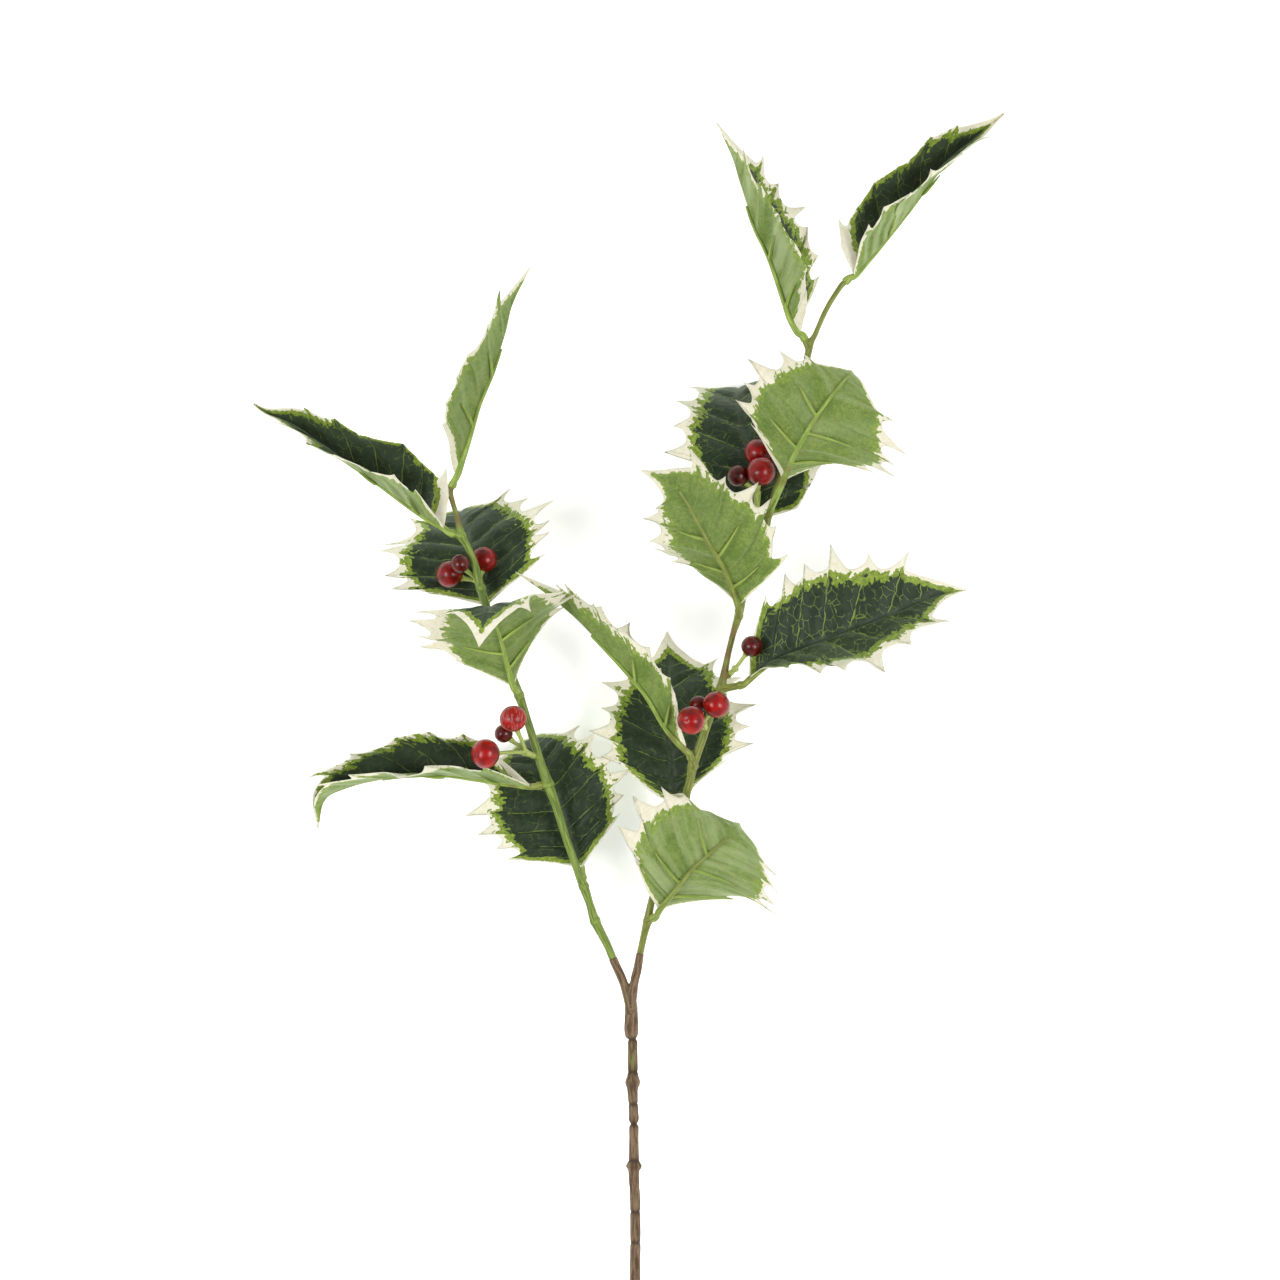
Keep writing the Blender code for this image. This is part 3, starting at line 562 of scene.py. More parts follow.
# Each leaf. midrib: points from the blade's base to its tip. upper: the way the upper side faces at
# the base. half_widths: from the midrib to the bottom of the notches, left and right. left and
# right: the fold and the curl of each half in degrees, at the base, middle and tip.
LEAVES = {
    "left_leaf_1": {
        "midrib": [(-19.5, -46, 22.3), (-25.5, -30.5, 23.5), (-31.5, -16.5, 22.5), (-36, -5, 17),
                   (-39, 2, 9), (-40, 5, 2.5), (-40, 3.5, 0.6), (-38.5, 0, 0.3)],
        "upper": (0, 0, 1), "half_widths": (27, 25),
        "left": ((6, 6, 6), (-4, -4, -4)), "right": ((4, 6, 6), (-4, -4, -4)),
    },
    "left_leaf_2": {
        "midrib": [(-40, -13, 35), (-55.5, -11, 36), (-75.5, -8.5, 37), (-97, -10, 36),
                   (-113.5, -14, 33), (-122, -19, 29), (-125, -30.5, 24)],
        "upper": (0, 0.26, 0.97), "half_widths": (20, 20),
        "left": ((92, 78, 96), (20, 0, 20)), "right": ((22, 25, 65), (25, 55, 30)),
    },
    "left_leaf_3": {
        "midrib": [(-46, 27, 43.5), (-48.5, 37, 50), (-50.5, 46.5, 60), (-52.5, 54.5, 72),
                   (-53.5, 58, 81), (-55.5, 53, 88), (-57.5, 42.5, 92)],
        "upper": (0, 0.7, -0.7), "half_widths": (26, 27),
        "left": ((64, 14, 0), (5, 5, 5)), "right": ((8, 0, 0), (5, 5, 5)),
    },
    "left_leaf_4": {
        "midrib": [(-57, 59, 35), (-60, 69, 30), (-64, 80, 24), (-66.5, 89, 16), (-68.5, 94.5, 9),
                   (-69, 97.5, 2.5), (-69, 96, 0.6), (-68, 92.5, 0.3)],
        "upper": (0, 0, 1), "half_widths": (29, 29),
        "left": ((5, 8, 8), (5, 5, 0)), "right": ((5, 8, 8), (5, 5, 0)),
    },
    "left_leaf_5": {
        "midrib": [(-73.5, 89.5, 44.5), (-84.5, 96, 46), (-101, 108, 47), (-115, 117.5, 47),
                   (-131.5, 129.5, 45.5), (-143, 134.5, 43.5), (-149, 138.5, 41)],
        "upper": (0.135, 0.22, 0.97), "half_widths": (20, 21),
        "left": ((102, 72, 56), (30, 0, 0)), "right": ((14, 42, 78), (12, 46, 20)),
    },
    "left_leaf_6": {
        "midrib": [(-69, 111, 46.5), (-64.5, 123.5, 47), (-60, 138, 47.5), (-54.5, 150.5, 48),
                   (-49.5, 165.5, 48), (-46.5, 177.5, 47.5), (-39.5, 192, 46)],
        "upper": (-0.94, 0.35, 0), "half_widths": (21, 21),
        "left": ((35, 30, 22), (10, 5, 5)), "right": ((36, 22, 18), (8, 8, 5)),
    },
    "right_leaf_1": {
        "midrib": [(12, -62.5, 29), (18.5, -53.5, 37), (25.5, -44.5, 44), (33.5, -37, 49),
                   (39.5, -31.5, 48.5), (42.5, -28.5, 42), (43, -28.5, 32), (41.5, -32.5, 23)],
        "upper": (0.36, 0.46, -0.84), "half_widths": (30, 28),
        "left": ((52, 8, 0), (5, 5, 0)), "right": ((-25, 3, 45), (0, 12, 30)),
    },
    "right_leaf_2": {
        "midrib": [(20, -21, 25), (17, -11, 25), (15.5, 5, 20.5), (15.5, 21, 13), (15.5, 32, 4.5),
                   (15.5, 37, 0), (15, 42, -1.5), (15, 48.5, -1.5)],
        "upper": (0, 0, 1), "half_widths": (24, 28),
        "left": ((4, 6, 6), (0, 0, 0)), "right": ((4, 6, 6), (0, 0, 0)),
    },
    "right_leaf_3": {
        "midrib": [(22, 3, 38), (15, 10.5, 42), (7, 23.5, 46), (-1.5, 33.5, 48), (-12.5, 45, 49),
                   (-22.5, 55, 48), (-33.5, 64, 46), (-45, 72, 43)],
        "upper": (0.71, 0.70, 0), "half_widths": (13, 15),
        "left": ((62, 42, 30), (5, 5, 5)), "right": ((35, 40, 40), (10, 10, 10)),
    },
    "right_leaf_4": {
        "midrib": [(47.5, 30.5, 41), (57.5, 37.5, 43), (79, 46, 45), (102.5, 55, 45),
                   (120.5, 62.5, 43), (133, 65, 41)],
        "upper": (-0.19, 0.5, 0.84), "half_widths": (26, 26),
        "left": ((33, 33, 33), (-5, -5, -5)), "right": ((58, 27, 32), (0, 0, 0)),
    },
    "right_leaf_5": {
        "midrib": [(43, 59, 46.5), (41, 64, 50), (37, 73.5, 58), (32, 81, 65), (25.5, 92.5, 72),
                   (19.5, 102.5, 76), (11.5, 107.5, 76), (4.5, 110.5, 73)],
        "upper": (0.2, 0.62, -0.75), "half_widths": (24, 21),
        "left": ((-5, 50, 80), (0, 10, 10)), "right": ((30, 5, 5), (5, 5, 5)),
    },
    "right_leaf_6": {
        "midrib": [(54.5, 93.5, 39), (50.5, 108.5, 36), (46.5, 123.5, 30), (44.5, 136.5, 21),
                   (43.5, 145, 11), (44, 147.5, 2), (44.5, 144, -2.5), (45.5, 136, -2)],
        "upper": (0, 0, 1), "half_widths": (24, 28),
        "left": ((5, 8, 8), (0, 0, 0)), "right": ((0, 8, 12), (0, 5, 10)),
    },
    "right_leaf_7": {
        "midrib": [(60, 107.5, 59), (65.5, 120, 63.5), (73, 132.5, 65.5), (81, 143, 64.5),
                   (85, 148, 61), (86.5, 150, 56), (85.5, 149, 51)],
        "upper": (0.15, 0.32, -0.93), "half_widths": (34, 27),
        "left": ((58, 12, 4), (5, 4, 4)), "right": ((40, 0, 25), (5, 5, 10)),
    },
    "right_leaf_8": {
        "midrib": [(67, 166.5, 50), (63.5, 172.5, 50.5), (55.5, 194.5, 52), (49, 208, 52.5),
                   (43.5, 224.5, 52), (40.5, 234.5, 51), (34.5, 248.5, 48)],
        "upper": (0.91, 0.36, 0.22), "half_widths": (19, 20),
        "left": ((50, 40, 27), (0, 0, 0)), "right": ((46, 43, 33), (0, 0, 0)),
    },
    "right_leaf_9": {
        "midrib": [(88, 188.5, 51.3), (96.5, 198, 52.5), (110, 214.5, 53.5), (123.5, 232, 52.5),
                   (135.5, 242.5, 50), (147.5, 252.5, 47)],
        "upper": (-0.285, 0.265, 0.92), "half_widths": (20, 20),
        "left": ((22, 50, 84), (12, 42, 20)), "right": ((106, 68, 30), (10, 0, 20)),
    },
}
# The cut of half a blade from base to tip, as shares of its length and its half width. For each
# tooth: where its lateral vein leaves the midrib, the tooth's tip, and the notch after it.
TEETH = [
    (0.060, (0.200, 0.88), (0.228, 0.81)), (0.125, (0.292, 1.13), (0.330, 0.95)),
    (0.228, (0.395, 1.28), (0.435, 0.99)), (0.346, (0.520, 1.23), (0.562, 0.86)),
    (0.465, (0.668, 1.04), (0.695, 0.69)), (0.640, (0.828, 0.78), (0.795, 0.49)),
]
LAST_NOTCH_VEIN = 0.72
BLADE_THICKNESS = 0.32
# Pleats rise over a short way from the midrib and flatten towards the cut. The midrib lies in a
# groove.
PLEAT_DEPTH = 1.1
PLEAT_START = 4.0
PLEAT_END = 1.2
MIDRIB_GROOVE = 0.35
# The main rib's radius at the base, at a share of 0.12 and at its end, a share of the length.
RIB_RADII = (1.35, 1.05, 0.55)
RIB_END = 0.6
LONG_RIBS = {"right_leaf_5": 0.77, "right_leaf_7": 0.82}
# The share of a rib's radius that stands clear of the fabric, and the glue between the two.
RIB_STAND = 0.75
RIB_GLUE = 0.14
SIDE_RIB_GLUE = 0.2
# The petiole's cup: how far it slides over the stub, its length and radius, and its throat.
SLEEVE_REACH = 0.9
SLEEVE_LENGTH = 1.6
SLEEVE_RADIUS = 1.68
THROAT_REACH = -1.7
RIB_ROWS = 10
# The side ribs lie under these teeth's veins, left and right in turn, and end part of the way
# out.
SIDE_RIB_TEETH = (1, 2, 3, 4)
SIDE_RIB_SHARES = np.array((0.03, 0.2, 0.46))
SIDE_RIB_RADIUS = 0.7
SIDE_RIB_TAPER = (1.0, 0.95, 0.5)
RIB_VOXEL = 0.31


class Midrib:
    """A leaf's middle line, with the directions across the blade and out of its upper side."""

    def __init__(self, leaf):
        self.points = smooth_line(leaf["midrib"])
        legs = np.linalg.norm(np.diff(self.points, axis=0), axis=1)
        self.marks = np.concatenate([[0.0], np.cumsum(legs)])
        self.length = self.marks[-1]
        self.tangents = unit(np.gradient(self.points, self.marks, axis=0))
        facing = np.array(leaf["upper"], float)
        uppers = []
        for tangent in self.tangents:
            facing = unit(facing - tangent * facing.dot(tangent))
            uppers.append(facing)
        self.uppers = np.array(uppers)
        self.acrosses = np.cross(self.tangents, self.uppers)

    def at(self, along):
        """Points, directions across and upper directions at lengths along the midrib."""
        return [
            np.stack([np.interp(along, self.marks, column) for column in rows.T], -1)
            for rows in (self.points, self.acrosses, self.uppers)
        ]


def three(values, share):
    """Values that pass through three values at shares 0, 0.5 and 1."""
    return np.interp(share, (0, 0.5, 1), values)


FLAT_TURN = 1e-5


def on_sheet(leaf, midrib, along, distance, right):
    """Points on the blade's folded and curled sheet, and the directions out of its upper side, at
    lengths along the midrib and distances from it."""
    along, distance = np.broadcast_arrays(np.asarray(along, float), np.asarray(distance, float))
    point, across, upper = midrib.at(np.minimum(along, midrib.length))
    if not right:
        across = -across
    shares = along / midrib.length
    folds, curls = leaf["right" if right else "left"]
    fold = np.radians(three(folds, shares))
    turn = np.radians(three(curls, shares)) / leaf["half_widths"][right]
    turn = np.where(np.abs(turn) < FLAT_TURN, FLAT_TURN, turn)
    angle = fold + turn * distance
    out = (np.sin(angle) - np.sin(fold)) / turn
    rise = (np.cos(fold) - np.cos(angle)) / turn
    normal = unit(upper * np.cos(angle)[..., None] - across * np.sin(angle)[..., None])
    return point + across * out[..., None] + upper * rise[..., None], normal


def main_rib(name, leaf, midrib):
    """The rows of the petiole's cup and throat, the rows of the main rib, and the share of the
    midrib at each of the latter."""
    root, joint = STUBS[name]
    rib_end = LONG_RIBS.get(name, RIB_END)
    shares = np.linspace(0, rib_end, RIB_ROWS)
    centres, _, normals = midrib.at(shares * midrib.length)
    radii = np.interp(shares, (0, 0.12, rib_end), RIB_RADII)
    left, right = three(leaf["left"][0], shares), three(leaf["right"][0], shares)
    deepest = np.minimum(np.minimum(left, right), 0.0)
    skin = BLADE_THICKNESS / 2 / np.maximum(np.cos(np.radians((left + right) / 2)), 0.5)
    groove = MIDRIB_GROOVE * np.clip(1.2 - (left + right) / 40, 0, 1)
    clear = (RIB_GLUE + RIB_STAND * radii) / np.cos(np.radians(deepest))
    spine = centres - normals * (skin + groove + clear)[:, None]
    petiole = [
        (*toward(joint, root, reach), radius) for reach, radius in (
            (SLEEVE_REACH, SLEEVE_RADIUS), (SLEEVE_REACH - SLEEVE_LENGTH, SLEEVE_RADIUS),
            (THROAT_REACH, RIB_RADII[0]))
    ]
    return petiole, [(*point, radius) for point, radius in zip(spine, radii)], shares


def side_rib(leaf, midrib, tooth, right, begin):
    """A side rib that leaves the main rib at begin and runs out under the tooth's vein."""
    vein, tip, _ = TEETH[tooth]
    along = (vein + (tip[0] - vein) * SIDE_RIB_SHARES) * midrib.length
    distance = tip[1] * SIDE_RIB_SHARES * leaf["half_widths"][right]
    points, normals = on_sheet(leaf, midrib, along, distance, right)
    flat = np.clip(distance / PLEAT_START, 0, 1) * np.clip(PLEAT_END - SIDE_RIB_SHARES, 0, 1)
    under = BLADE_THICKNESS / 2 + RIB_STAND * SIDE_RIB_RADIUS + SIDE_RIB_GLUE
    points -= normals * (under + PLEAT_DEPTH / 2 * flat)[:, None]
    rows = [(*point, SIDE_RIB_RADIUS * share) for point, share in zip(points, SIDE_RIB_TAPER)]
    return Bar([(*begin, SIDE_RIB_RADIUS), *rows], 5)


# Leaves whose main rib is brushed brown towards its end, and those whose petiole is.
BROWN_TIPS = ("right_leaf_1", "right_leaf_5")
BROWN_NECKS = ("right_leaf_3", "right_leaf_4", "right_leaf_5", "right_leaf_7", "left_leaf_2")

midribs = {name: Midrib(leaf) for name, leaf in LEAVES.items()}
rib_plastic = plastic("rib_green", paint(116, 146, 52), paint(172, 194, 94), paint(116, 94, 50))
for number, (name, leaf) in enumerate(LEAVES.items()):
    petiole, spine, shares = main_rib(name, leaf, midribs[name])
    bars = [Bar(petiole + spine, 6)]
    for right, tooth in zip((0, 1, 0, 1), SIDE_RIB_TEETH):
        begin = [np.interp(TEETH[tooth][0], shares, column) for column in np.array(spine)[:, :3].T]
        bars.append(side_rib(leaf, midribs[name], tooth, right, begin))
    mesh = moulding(f"{name}_rib", bars, RIB_VOXEL, 3, 0.37 * number, 0.02)
    cup, collar = petiole[0][:3], petiole[1][:3]
    tips = [bar.centres[-1] for bar in bars]
    touches = [((cup, collar), 1.6, 0.6), (tips, 2.0, 0.55)]
    if name in BROWN_TIPS:
        touches.append((bars[0].centres[7:], 3.0, 0.6))
    if name in BROWN_NECKS:
        touches.append(((spine[0][:3], spine[1][:3], collar), 5.0, 0.66))
    brush_brown(mesh, *touches)
    mesh.materials.append(rib_plastic)
    show(f"{name}_rib_surface", mesh, f"{name}_rib")


# --- The leaf blades ------------------------------------------------------------------------------
# Each blade is one cut of printed fabric with spiny teeth, pleated between its lateral veins. The
# face is dark green with fine yellow-green veins, a jagged yellow-green band and a cream margin.
# The back shows the weave in sage green.

# Mesh rows along the base edge, each tooth's rear and front, and the tip, and columns across.
BASE_ROWS = 14
REAR_ROWS = 9
FRONT_ROWS = 8
TIP_ROWS = 20
COLUMNS_PER_HALF = 22
# How unequal the teeth are, and how far fabric strays from the even sheet, in millimetres: soft
# waves, a ripple towards the cut, and spines that stand up or down.
UNEVEN_TEETH = 0.35
WAVE = 0.35
EDGE_RIPPLE = 1.0
SPINE_LIFT = 0.9
TABLE_GAP = 0.05
FACE_DARK = (paint(17, 38, 19), paint(37, 56, 25))
FACE_SHEEN = paint(86, 95, 78)
BAND_GREEN = (paint(104, 130, 34), paint(150, 170, 66))
CREAM = (paint(238, 232, 204), paint(246, 243, 224))
BACK_SAGE = (paint(97, 124, 45), paint(135, 156, 74))
# The paler sage of the backs' painted sheen.
BACK_SHEEN = paint(176, 192, 138)
BACK_BAND = (paint(112, 142, 52), paint(150, 170, 78))
BACK_CREAM = (paint(232, 226, 198), paint(242, 238, 216))
# How wide, in millimetres, the cream runs along the smooth margins: at the base on the left and the
# right half, and at the tip.
CREAM_RUNS = {
    "left_leaf_2": (0.4, 2.8, 0.6), "left_leaf_3": (0.7, 0.7, 3.2),
    "left_leaf_5": (0.8, 4.0, 0.8), "left_leaf_6": (3.0, 3.0, 2.0),
    "right_leaf_1": (0.6, 1.2, 2.2), "right_leaf_2": (0.6, 0.6, 3.0),
    "right_leaf_3": (1.6, 0.8, 1.6), "right_leaf_4": (0.6, 0.4, 1.3),
    "right_leaf_5": (0.6, 0.6, 2.2), "right_leaf_6": (0.6, 0.6, 2.2),
    "right_leaf_7": (0.6, 2.2, 2.2), "right_leaf_8": (4.6, 1.0, 2.0),
    "right_leaf_9": (4.0, 0.8, 2.4),
}
USUAL_CREAM = (0.6, 0.6, 1.2)
# Halves that differ, by leaf and half: what share of their teeth stands out, how far in millimetres
# the print's cream has rolled under, and how far their teeth sit back towards the base.
ODD_EDGES = {
    ("left_leaf_5", 1): (0.15, 3.0, 0.08), ("left_leaf_2", 1): (0.45, 1.0, 0.0),
    ("right_leaf_9", 0): (0.12, 2.2, 0.08), ("right_leaf_8", 0): (0.3, 1.2, 0.06),
    ("left_leaf_6", 1): (0.3, 0.5, 0.0), ("left_leaf_6", 0): (0.3, 0.5, 0.0),
    ("right_leaf_3", 0): (0.6, 0.0, 0.0), ("left_leaf_5", 0): (0.6, 0.0, 0.0),
    ("right_leaf_6", 1): (1.0, -0.8, 0.13), ("left_leaf_3", 1): (1.0, -2.6, 0.0),
    ("right_leaf_7", 1): (1.0, -1.2, 0.0), ("right_leaf_5", 1): (1.1, -1.6, 0.0),
    ("right_leaf_1", 1): (1.1, -1.6, 0.0), ("right_leaf_4", 1): (1.2, -0.8, 0.0),
}
USUAL_EDGE = (1.0, 0.0, 0.0)
# Painted sheen, strongest on tilted leaves: the face painted greyer, the back paler in streaks
# along its pleats.
PAINTED_SHEENS = {
    "right_leaf_8": 1.0, "right_leaf_9": 0.9, "right_leaf_1": 0.75, "left_leaf_3": 0.25,
    "left_leaf_6": 0.4, "right_leaf_7": 0.4, "left_leaf_5": 0.7, "left_leaf_2": 0.6,
}
USUAL_SHEEN = 0.1
# How strongly the fine net of veins shows in each face's print.
NETTED = {"right_leaf_4": 1.0, "right_leaf_9": 0.8, "left_leaf_5": 0.5, "right_leaf_6": 0.4}
USUAL_NET = 0.25


def bend(begin, control, end, rows):
    """Points on a curve that leaves begin towards control and ends before end."""
    begin, control, end = (np.array(point) for point in (begin, control, end))
    t = (np.arange(rows) / rows)[:, None]
    return (1 - t) ** 2 * begin + 2 * t * (1 - t) * control + t**2 * end


def cut_rows(right, seed, spikiness, setback):
    """The rows of half a blade: where each leaves the midrib, its end on the cut edge, the notch
    line's distance there, how many teeth have gone by, and how smooth the edge is."""
    rows = []

    def stretch(edge, *spans):
        """Rows to the edge's points, with the values that run over each span in step."""
        steps = np.arange(len(edge)) / len(edge)
        share, line, place, smooth = (np.interp(steps, (0, 1), span) for span in spans)
        rows.extend(np.column_stack([share, edge, line, place, smooth]))

    vein_before, notch = 0.0, (0.0, 0.03)
    for number, (vein, tip, after) in enumerate(TEETH):
        first, last = number == 0, number == len(TEETH) - 1
        following = 2 * LAST_NOTCH_VEIN - vein if last else TEETH[number + 1][0]
        length = 1 + UNEVEN_TEETH * np.sin(2.4 * number + 1.7 * right + 1.3 * seed)
        length *= 1.0 if first else spikiness
        line = (notch[1] + after[1]) / 2
        sway = 0.008 * np.sin(3.1 * number + seed + right) - 0.05 * last * (spikiness < 0.2)
        tip = (tip[0] + sway, line + (tip[1] - line) * length)
        lean = np.subtract(after, notch)
        tip_line = tip[1] - 0.04 if first else line
        if first:
            rear = bend(notch, (0.075, 0.31), tip, BASE_ROWS)
            stretch(rear, (vein_before, vein), (notch[1], tip_line), (0, 0.5), (1, 0.7))
        else:
            rear = bend(notch, notch + 0.45 * lean, tip, REAR_ROWS)
            places, smooths = (number, number + 0.5), (0.6 * (number == 1), 0)
            stretch(rear, (vein_before, vein), (notch[1], tip_line), places, smooths)
        middle = (vein + following) / 2
        front = bend(tip, np.array(after) - 0.2 * lean, after, FRONT_ROWS)
        places, smooths = (number + 0.5, number + 1), (0.7 * first, 0.6 * last)
        stretch(front, (vein, middle), (tip_line, after[1]), places, smooths)
        vein_before, notch = middle, after
    edge = bend(notch, (0.875, 0.19), (1.0, 0.004), TIP_ROWS)
    places = (len(TEETH), len(TEETH) + 2)
    stretch(edge, (vein_before, 1.0), (notch[1], 0.004), places, (0.6, 1))
    rows[-1][:3] = 0.995, 1.0, 0.004
    rows = np.array(rows)
    rows[:, 1] -= setback * (1 - rows[:, 1]) * np.clip(rows[:, 1] / 0.12, 0, 1)
    # The notch line follows the edge itself where the edge is smooth.
    rows[-TIP_ROWS:, 3] = rows[-TIP_ROWS:, 2]
    rows[:BASE_ROWS, 3] = rows[:BASE_ROWS, 2]
    return rows


def distance_from_cut(along, distance, cut):
    """How far points of the flat sheet lie from the first stretch of the cut edge."""
    steps = np.linspace(0, BASE_ROWS, 6 * BASE_ROWS)
    fine = [np.interp(steps, np.arange(BASE_ROWS + 1), column) for column in cut[:BASE_ROWS + 1].T]
    flat = np.stack([along, distance], -1)[:, :, None]
    return np.linalg.norm(flat - np.stack(fine, -1), axis=-1).min(-1)


def half_blade(name, leaf, midrib, right, seed):
    """Half a blade's points, the directions out of its upper side, and its print and sheet
    coordinates."""
    reach = np.linspace(0, 1, COLUMNS_PER_HALF + 1)[None, :]
    spikiness, rolled, setback = ODD_EDGES.get((name, right), USUAL_EDGE)
    rows = cut_rows(right, seed, spikiness, setback)
    vein, edge_along, edge_out, line, place, smooth = (column[:, None] for column in rows.T)
    half_width = leaf["half_widths"][right]
    along = (vein + (edge_along - vein) * reach) * midrib.length
    distance = np.maximum(edge_out * half_width, 0.12) * reach
    centre, normal = on_sheet(leaf, midrib, along, distance, right)
    beyond = distance - line * half_width
    *base_runs, tip_run = CREAM_RUNS.get(name, USUAL_CREAM)
    printed_beyond = beyond * (1 + 0.75 * smooth) + smooth * (1.75 * tip_run - 1.6)
    printed_beyond -= rolled * np.clip(2 * place - 1, 0, 1) * np.clip(5.4 - place, 0, 1)
    # Along the straight base edge the print follows the true distance from the cut.
    inward = distance_from_cut(along, distance, rows[:, 1:3] * (midrib.length, half_width))
    base_print = 1.8 * (base_runs[right] - inward) - 1.3
    printed_beyond = np.where(place < 0.5, base_print, np.maximum(printed_beyond, base_print))
    # The pleats, the midrib's groove, and what makes the fabric uneven.
    side = distance * (2 * right - 1)
    inner = np.clip(distance / PLEAT_START, 0, 1) * np.clip(PLEAT_END - reach, 0, 1)
    folded = (np.abs(np.sin(np.pi * (place - 0.5))) - 0.5) * (place < len(TEETH))
    rise = PLEAT_DEPTH * folded * inner - MIDRIB_GROOVE * np.exp(-((distance / 1.1) ** 2))
    rise += WAVE * np.sin(0.21 * along + 0.3 * side + seed) * np.clip(distance / 9, 0, 1)
    rise += EDGE_RIPPLE * (distance / half_width) ** 2 * np.sin(np.pi * place + 0.6 * seed)
    rise += SPINE_LIFT * np.clip(beyond / 6, 0, 1) ** 2 * np.sin(1.9 * np.floor(place) + seed)
    places = np.stack([printed_beyond, place + 0 * reach, smooth + 0 * reach], -1)
    sheets = np.stack([side, along, 0 * along + 7.3 * seed], -1)
    return centre + normal * rise[..., None], normal, places, sheets


def blade_mesh(name, leaf, midrib, seed):
    """The blade as a closed mesh of two skins, with its print's coordinates as attributes."""
    left, right = (half_blade(name, leaf, midrib, half, seed) for half in (0, 1))
    centre, normal, places, sheets = (
        np.concatenate([left[k][:, :0:-1], right[k]], axis=1) for k in range(4)
    )
    normal[:, COLUMNS_PER_HALF] = unit(left[1][:, 0] + right[1][:, 0])
    # What would sink into the table lies flat on it.
    lowest = BLADE_THICKNESS / 2 + TABLE_GAP
    down = centre[..., 2] < lowest
    centre[..., 2] = np.where(down, lowest, centre[..., 2])
    upright = np.zeros(normal.shape)
    upright[..., 2] = np.where(normal[..., 2] < 0, -1.0, 1.0)
    skin = np.where(down[..., None], upright, normal) * BLADE_THICKNESS / 2
    skins = np.concatenate([(centre + skin).reshape(-1, 3), (centre - skin).reshape(-1, 3)])
    rows, columns = centre.shape[:2]
    count = rows * columns
    grid = np.arange(count).reshape(rows, columns)
    quads = np.stack([grid[:-1, :-1], grid[:-1, 1:], grid[1:, 1:], grid[1:, :-1]], -1)
    quads = quads.reshape(-1, 4)
    edge = [*grid[0], *grid[1:, -1], *grid[-1, -2::-1], *grid[-2:0:-1, 0]]
    rim = [(there, here, here + count, there + count)
           for here, there in zip(edge, edge[1:] + edge[:1])]
    faces = quads.tolist() + (quads[:, [0, 3, 2, 1]] + count).tolist() + rim
    mesh = bpy.data.meshes.new(f"{name}_blade")
    mesh.from_pydata(skins.tolist(), [], faces)
    add_attribute(mesh, "sheet", np.tile(sheets.reshape(-1, 3), (2, 1)))
    add_attribute(mesh, "print", np.tile(places.reshape(-1, 3), (2, 1)))
    # How much sheen is painted on this leaf.
    add_attribute(mesh, "painted_sheen", np.full(len(skins), PAINTED_SHEENS.get(name, USUAL_SHEEN)))
    add_attribute(mesh, "netted", np.full(len(skins), NETTED.get(name, USUAL_NET)))
    backs = np.zeros(len(faces), np.int32)
    backs[len(quads):2 * len(quads)] = 1
    mesh.materials.append(leaf_face)
    mesh.materials.append(leaf_back)
    mesh.polygons.foreach_set("material_index", backs)
    return mesh


def printed(start):
    """The print's shared coordinates: the flat sheet, the jagged distance beyond the notches, the
    distance from the nearest lateral vein, and the way along and out from the veins."""
    sheet = start.attribute("sheet", 1)
    margin, place, smooth = (start.attribute("print", 1).axis(number) for number in range(3))
    wobble = sheet.noise(0.22, 3.0) - 0.5
    tooth = (place + wobble * 0.24).math("FRACT")
    from_vein = (tooth - 0.5).math("ABSOLUTE") * 10.0
    flowing = place.joined(place * 9.0, margin * 0.34, sheet.axis(2))
    blocks = flowing.node("TexVoronoi", {"feature": "F1"}, {"Vector": flowing, "Scale": 0.95}, 1)
    jag = (blocks.axis(0) - 0.5) * 2.6 + (sheet.noise(0.55, 2.0) - 0.5) * 5.0
    jag = jag * (1 - 0.6 * smooth)
    finger = from_vein.ramp(1.7, 0.3) * 3.4 * sheet.noise(0.09, 1.0).ramp(0.35, 0.62)
    return sheet, margin + jag - finger * (1 - smooth), from_vein, (place, margin)


def fabric(name, roughness, specular, sheen, tint, sheen_roughness):
    """A woven fabric with a faint nap."""
    material, shader, start = new_material(name, roughness, specular)
    shader.inputs["Sheen Weight"].default_value = sheen
    shader.inputs["Sheen Tint"].default_value = (*tint, 1)
    shader.inputs["Sheen Roughness"].default_value = sheen_roughness
    return material, shader, start


leaf_face, shader, start = fabric("leaf_face", 0.5, 0.32, 0.34, (0.62, 0.8, 0.5), 0.45)
sheet, edge, from_vein, _ = printed(start)
face = sheet.dapple(0.5, 5.0, FACE_DARK)
from_midrib = sheet.axis(0).math("ABSOLUTE")
sheen = from_midrib.ramp(3.2, 0.4) * sheet.scaled(1, 0.2, 1).noise(0.5, 3.0).ramp(0.3, 0.7)
face = (sheen * 0.55).mix(face, FACE_SHEEN)
# Painted sheen: tilted faces painted greyer.
face = (start.attribute("painted_sheen", 2) * 0.42).mix(face, FACE_SHEEN)
netted = start.attribute("netted", 2)
vein = from_vein.ramp(0.26, 0.1) * sheet.noise(0.35, 2.0).ramp(0.3, 0.42)
warped = start.joined(sheet.axis(0) * 0.7 + 1.8 * sheet.noise(0.25, 2.0),
                      sheet.axis(1) + 1.8 * sheet.noise(0.31, 2.0), sheet.axis(2))
cells = warped.node("TexVoronoi", {"feature": "DISTANCE_TO_EDGE"}, {"Vector": warped, "Scale": 0.3})
broken = (sheet.noise(0.3, 3.0) + 0.08 * netted).ramp(0.5, 0.58)
net = cells.ramp(0.04, 0.01) * broken * (0.15 + 0.5 * netted)
lines = (vein * (0.5 + 0.5 * netted)).math("MAXIMUM", net) * from_midrib.ramp(0.5, 2.0)
face = lines.mix(face, paint(128, 148, 62))
face = edge.ramp(-4.6, -4.2).mix(face, sheet.dapple(0.8, 4.0, BAND_GREEN))
face = edge.ramp(-1.6, -1.25).mix(face, sheet.dapple(0.7, 3.0, CREAM))
face.wire(shader, "Base Color")
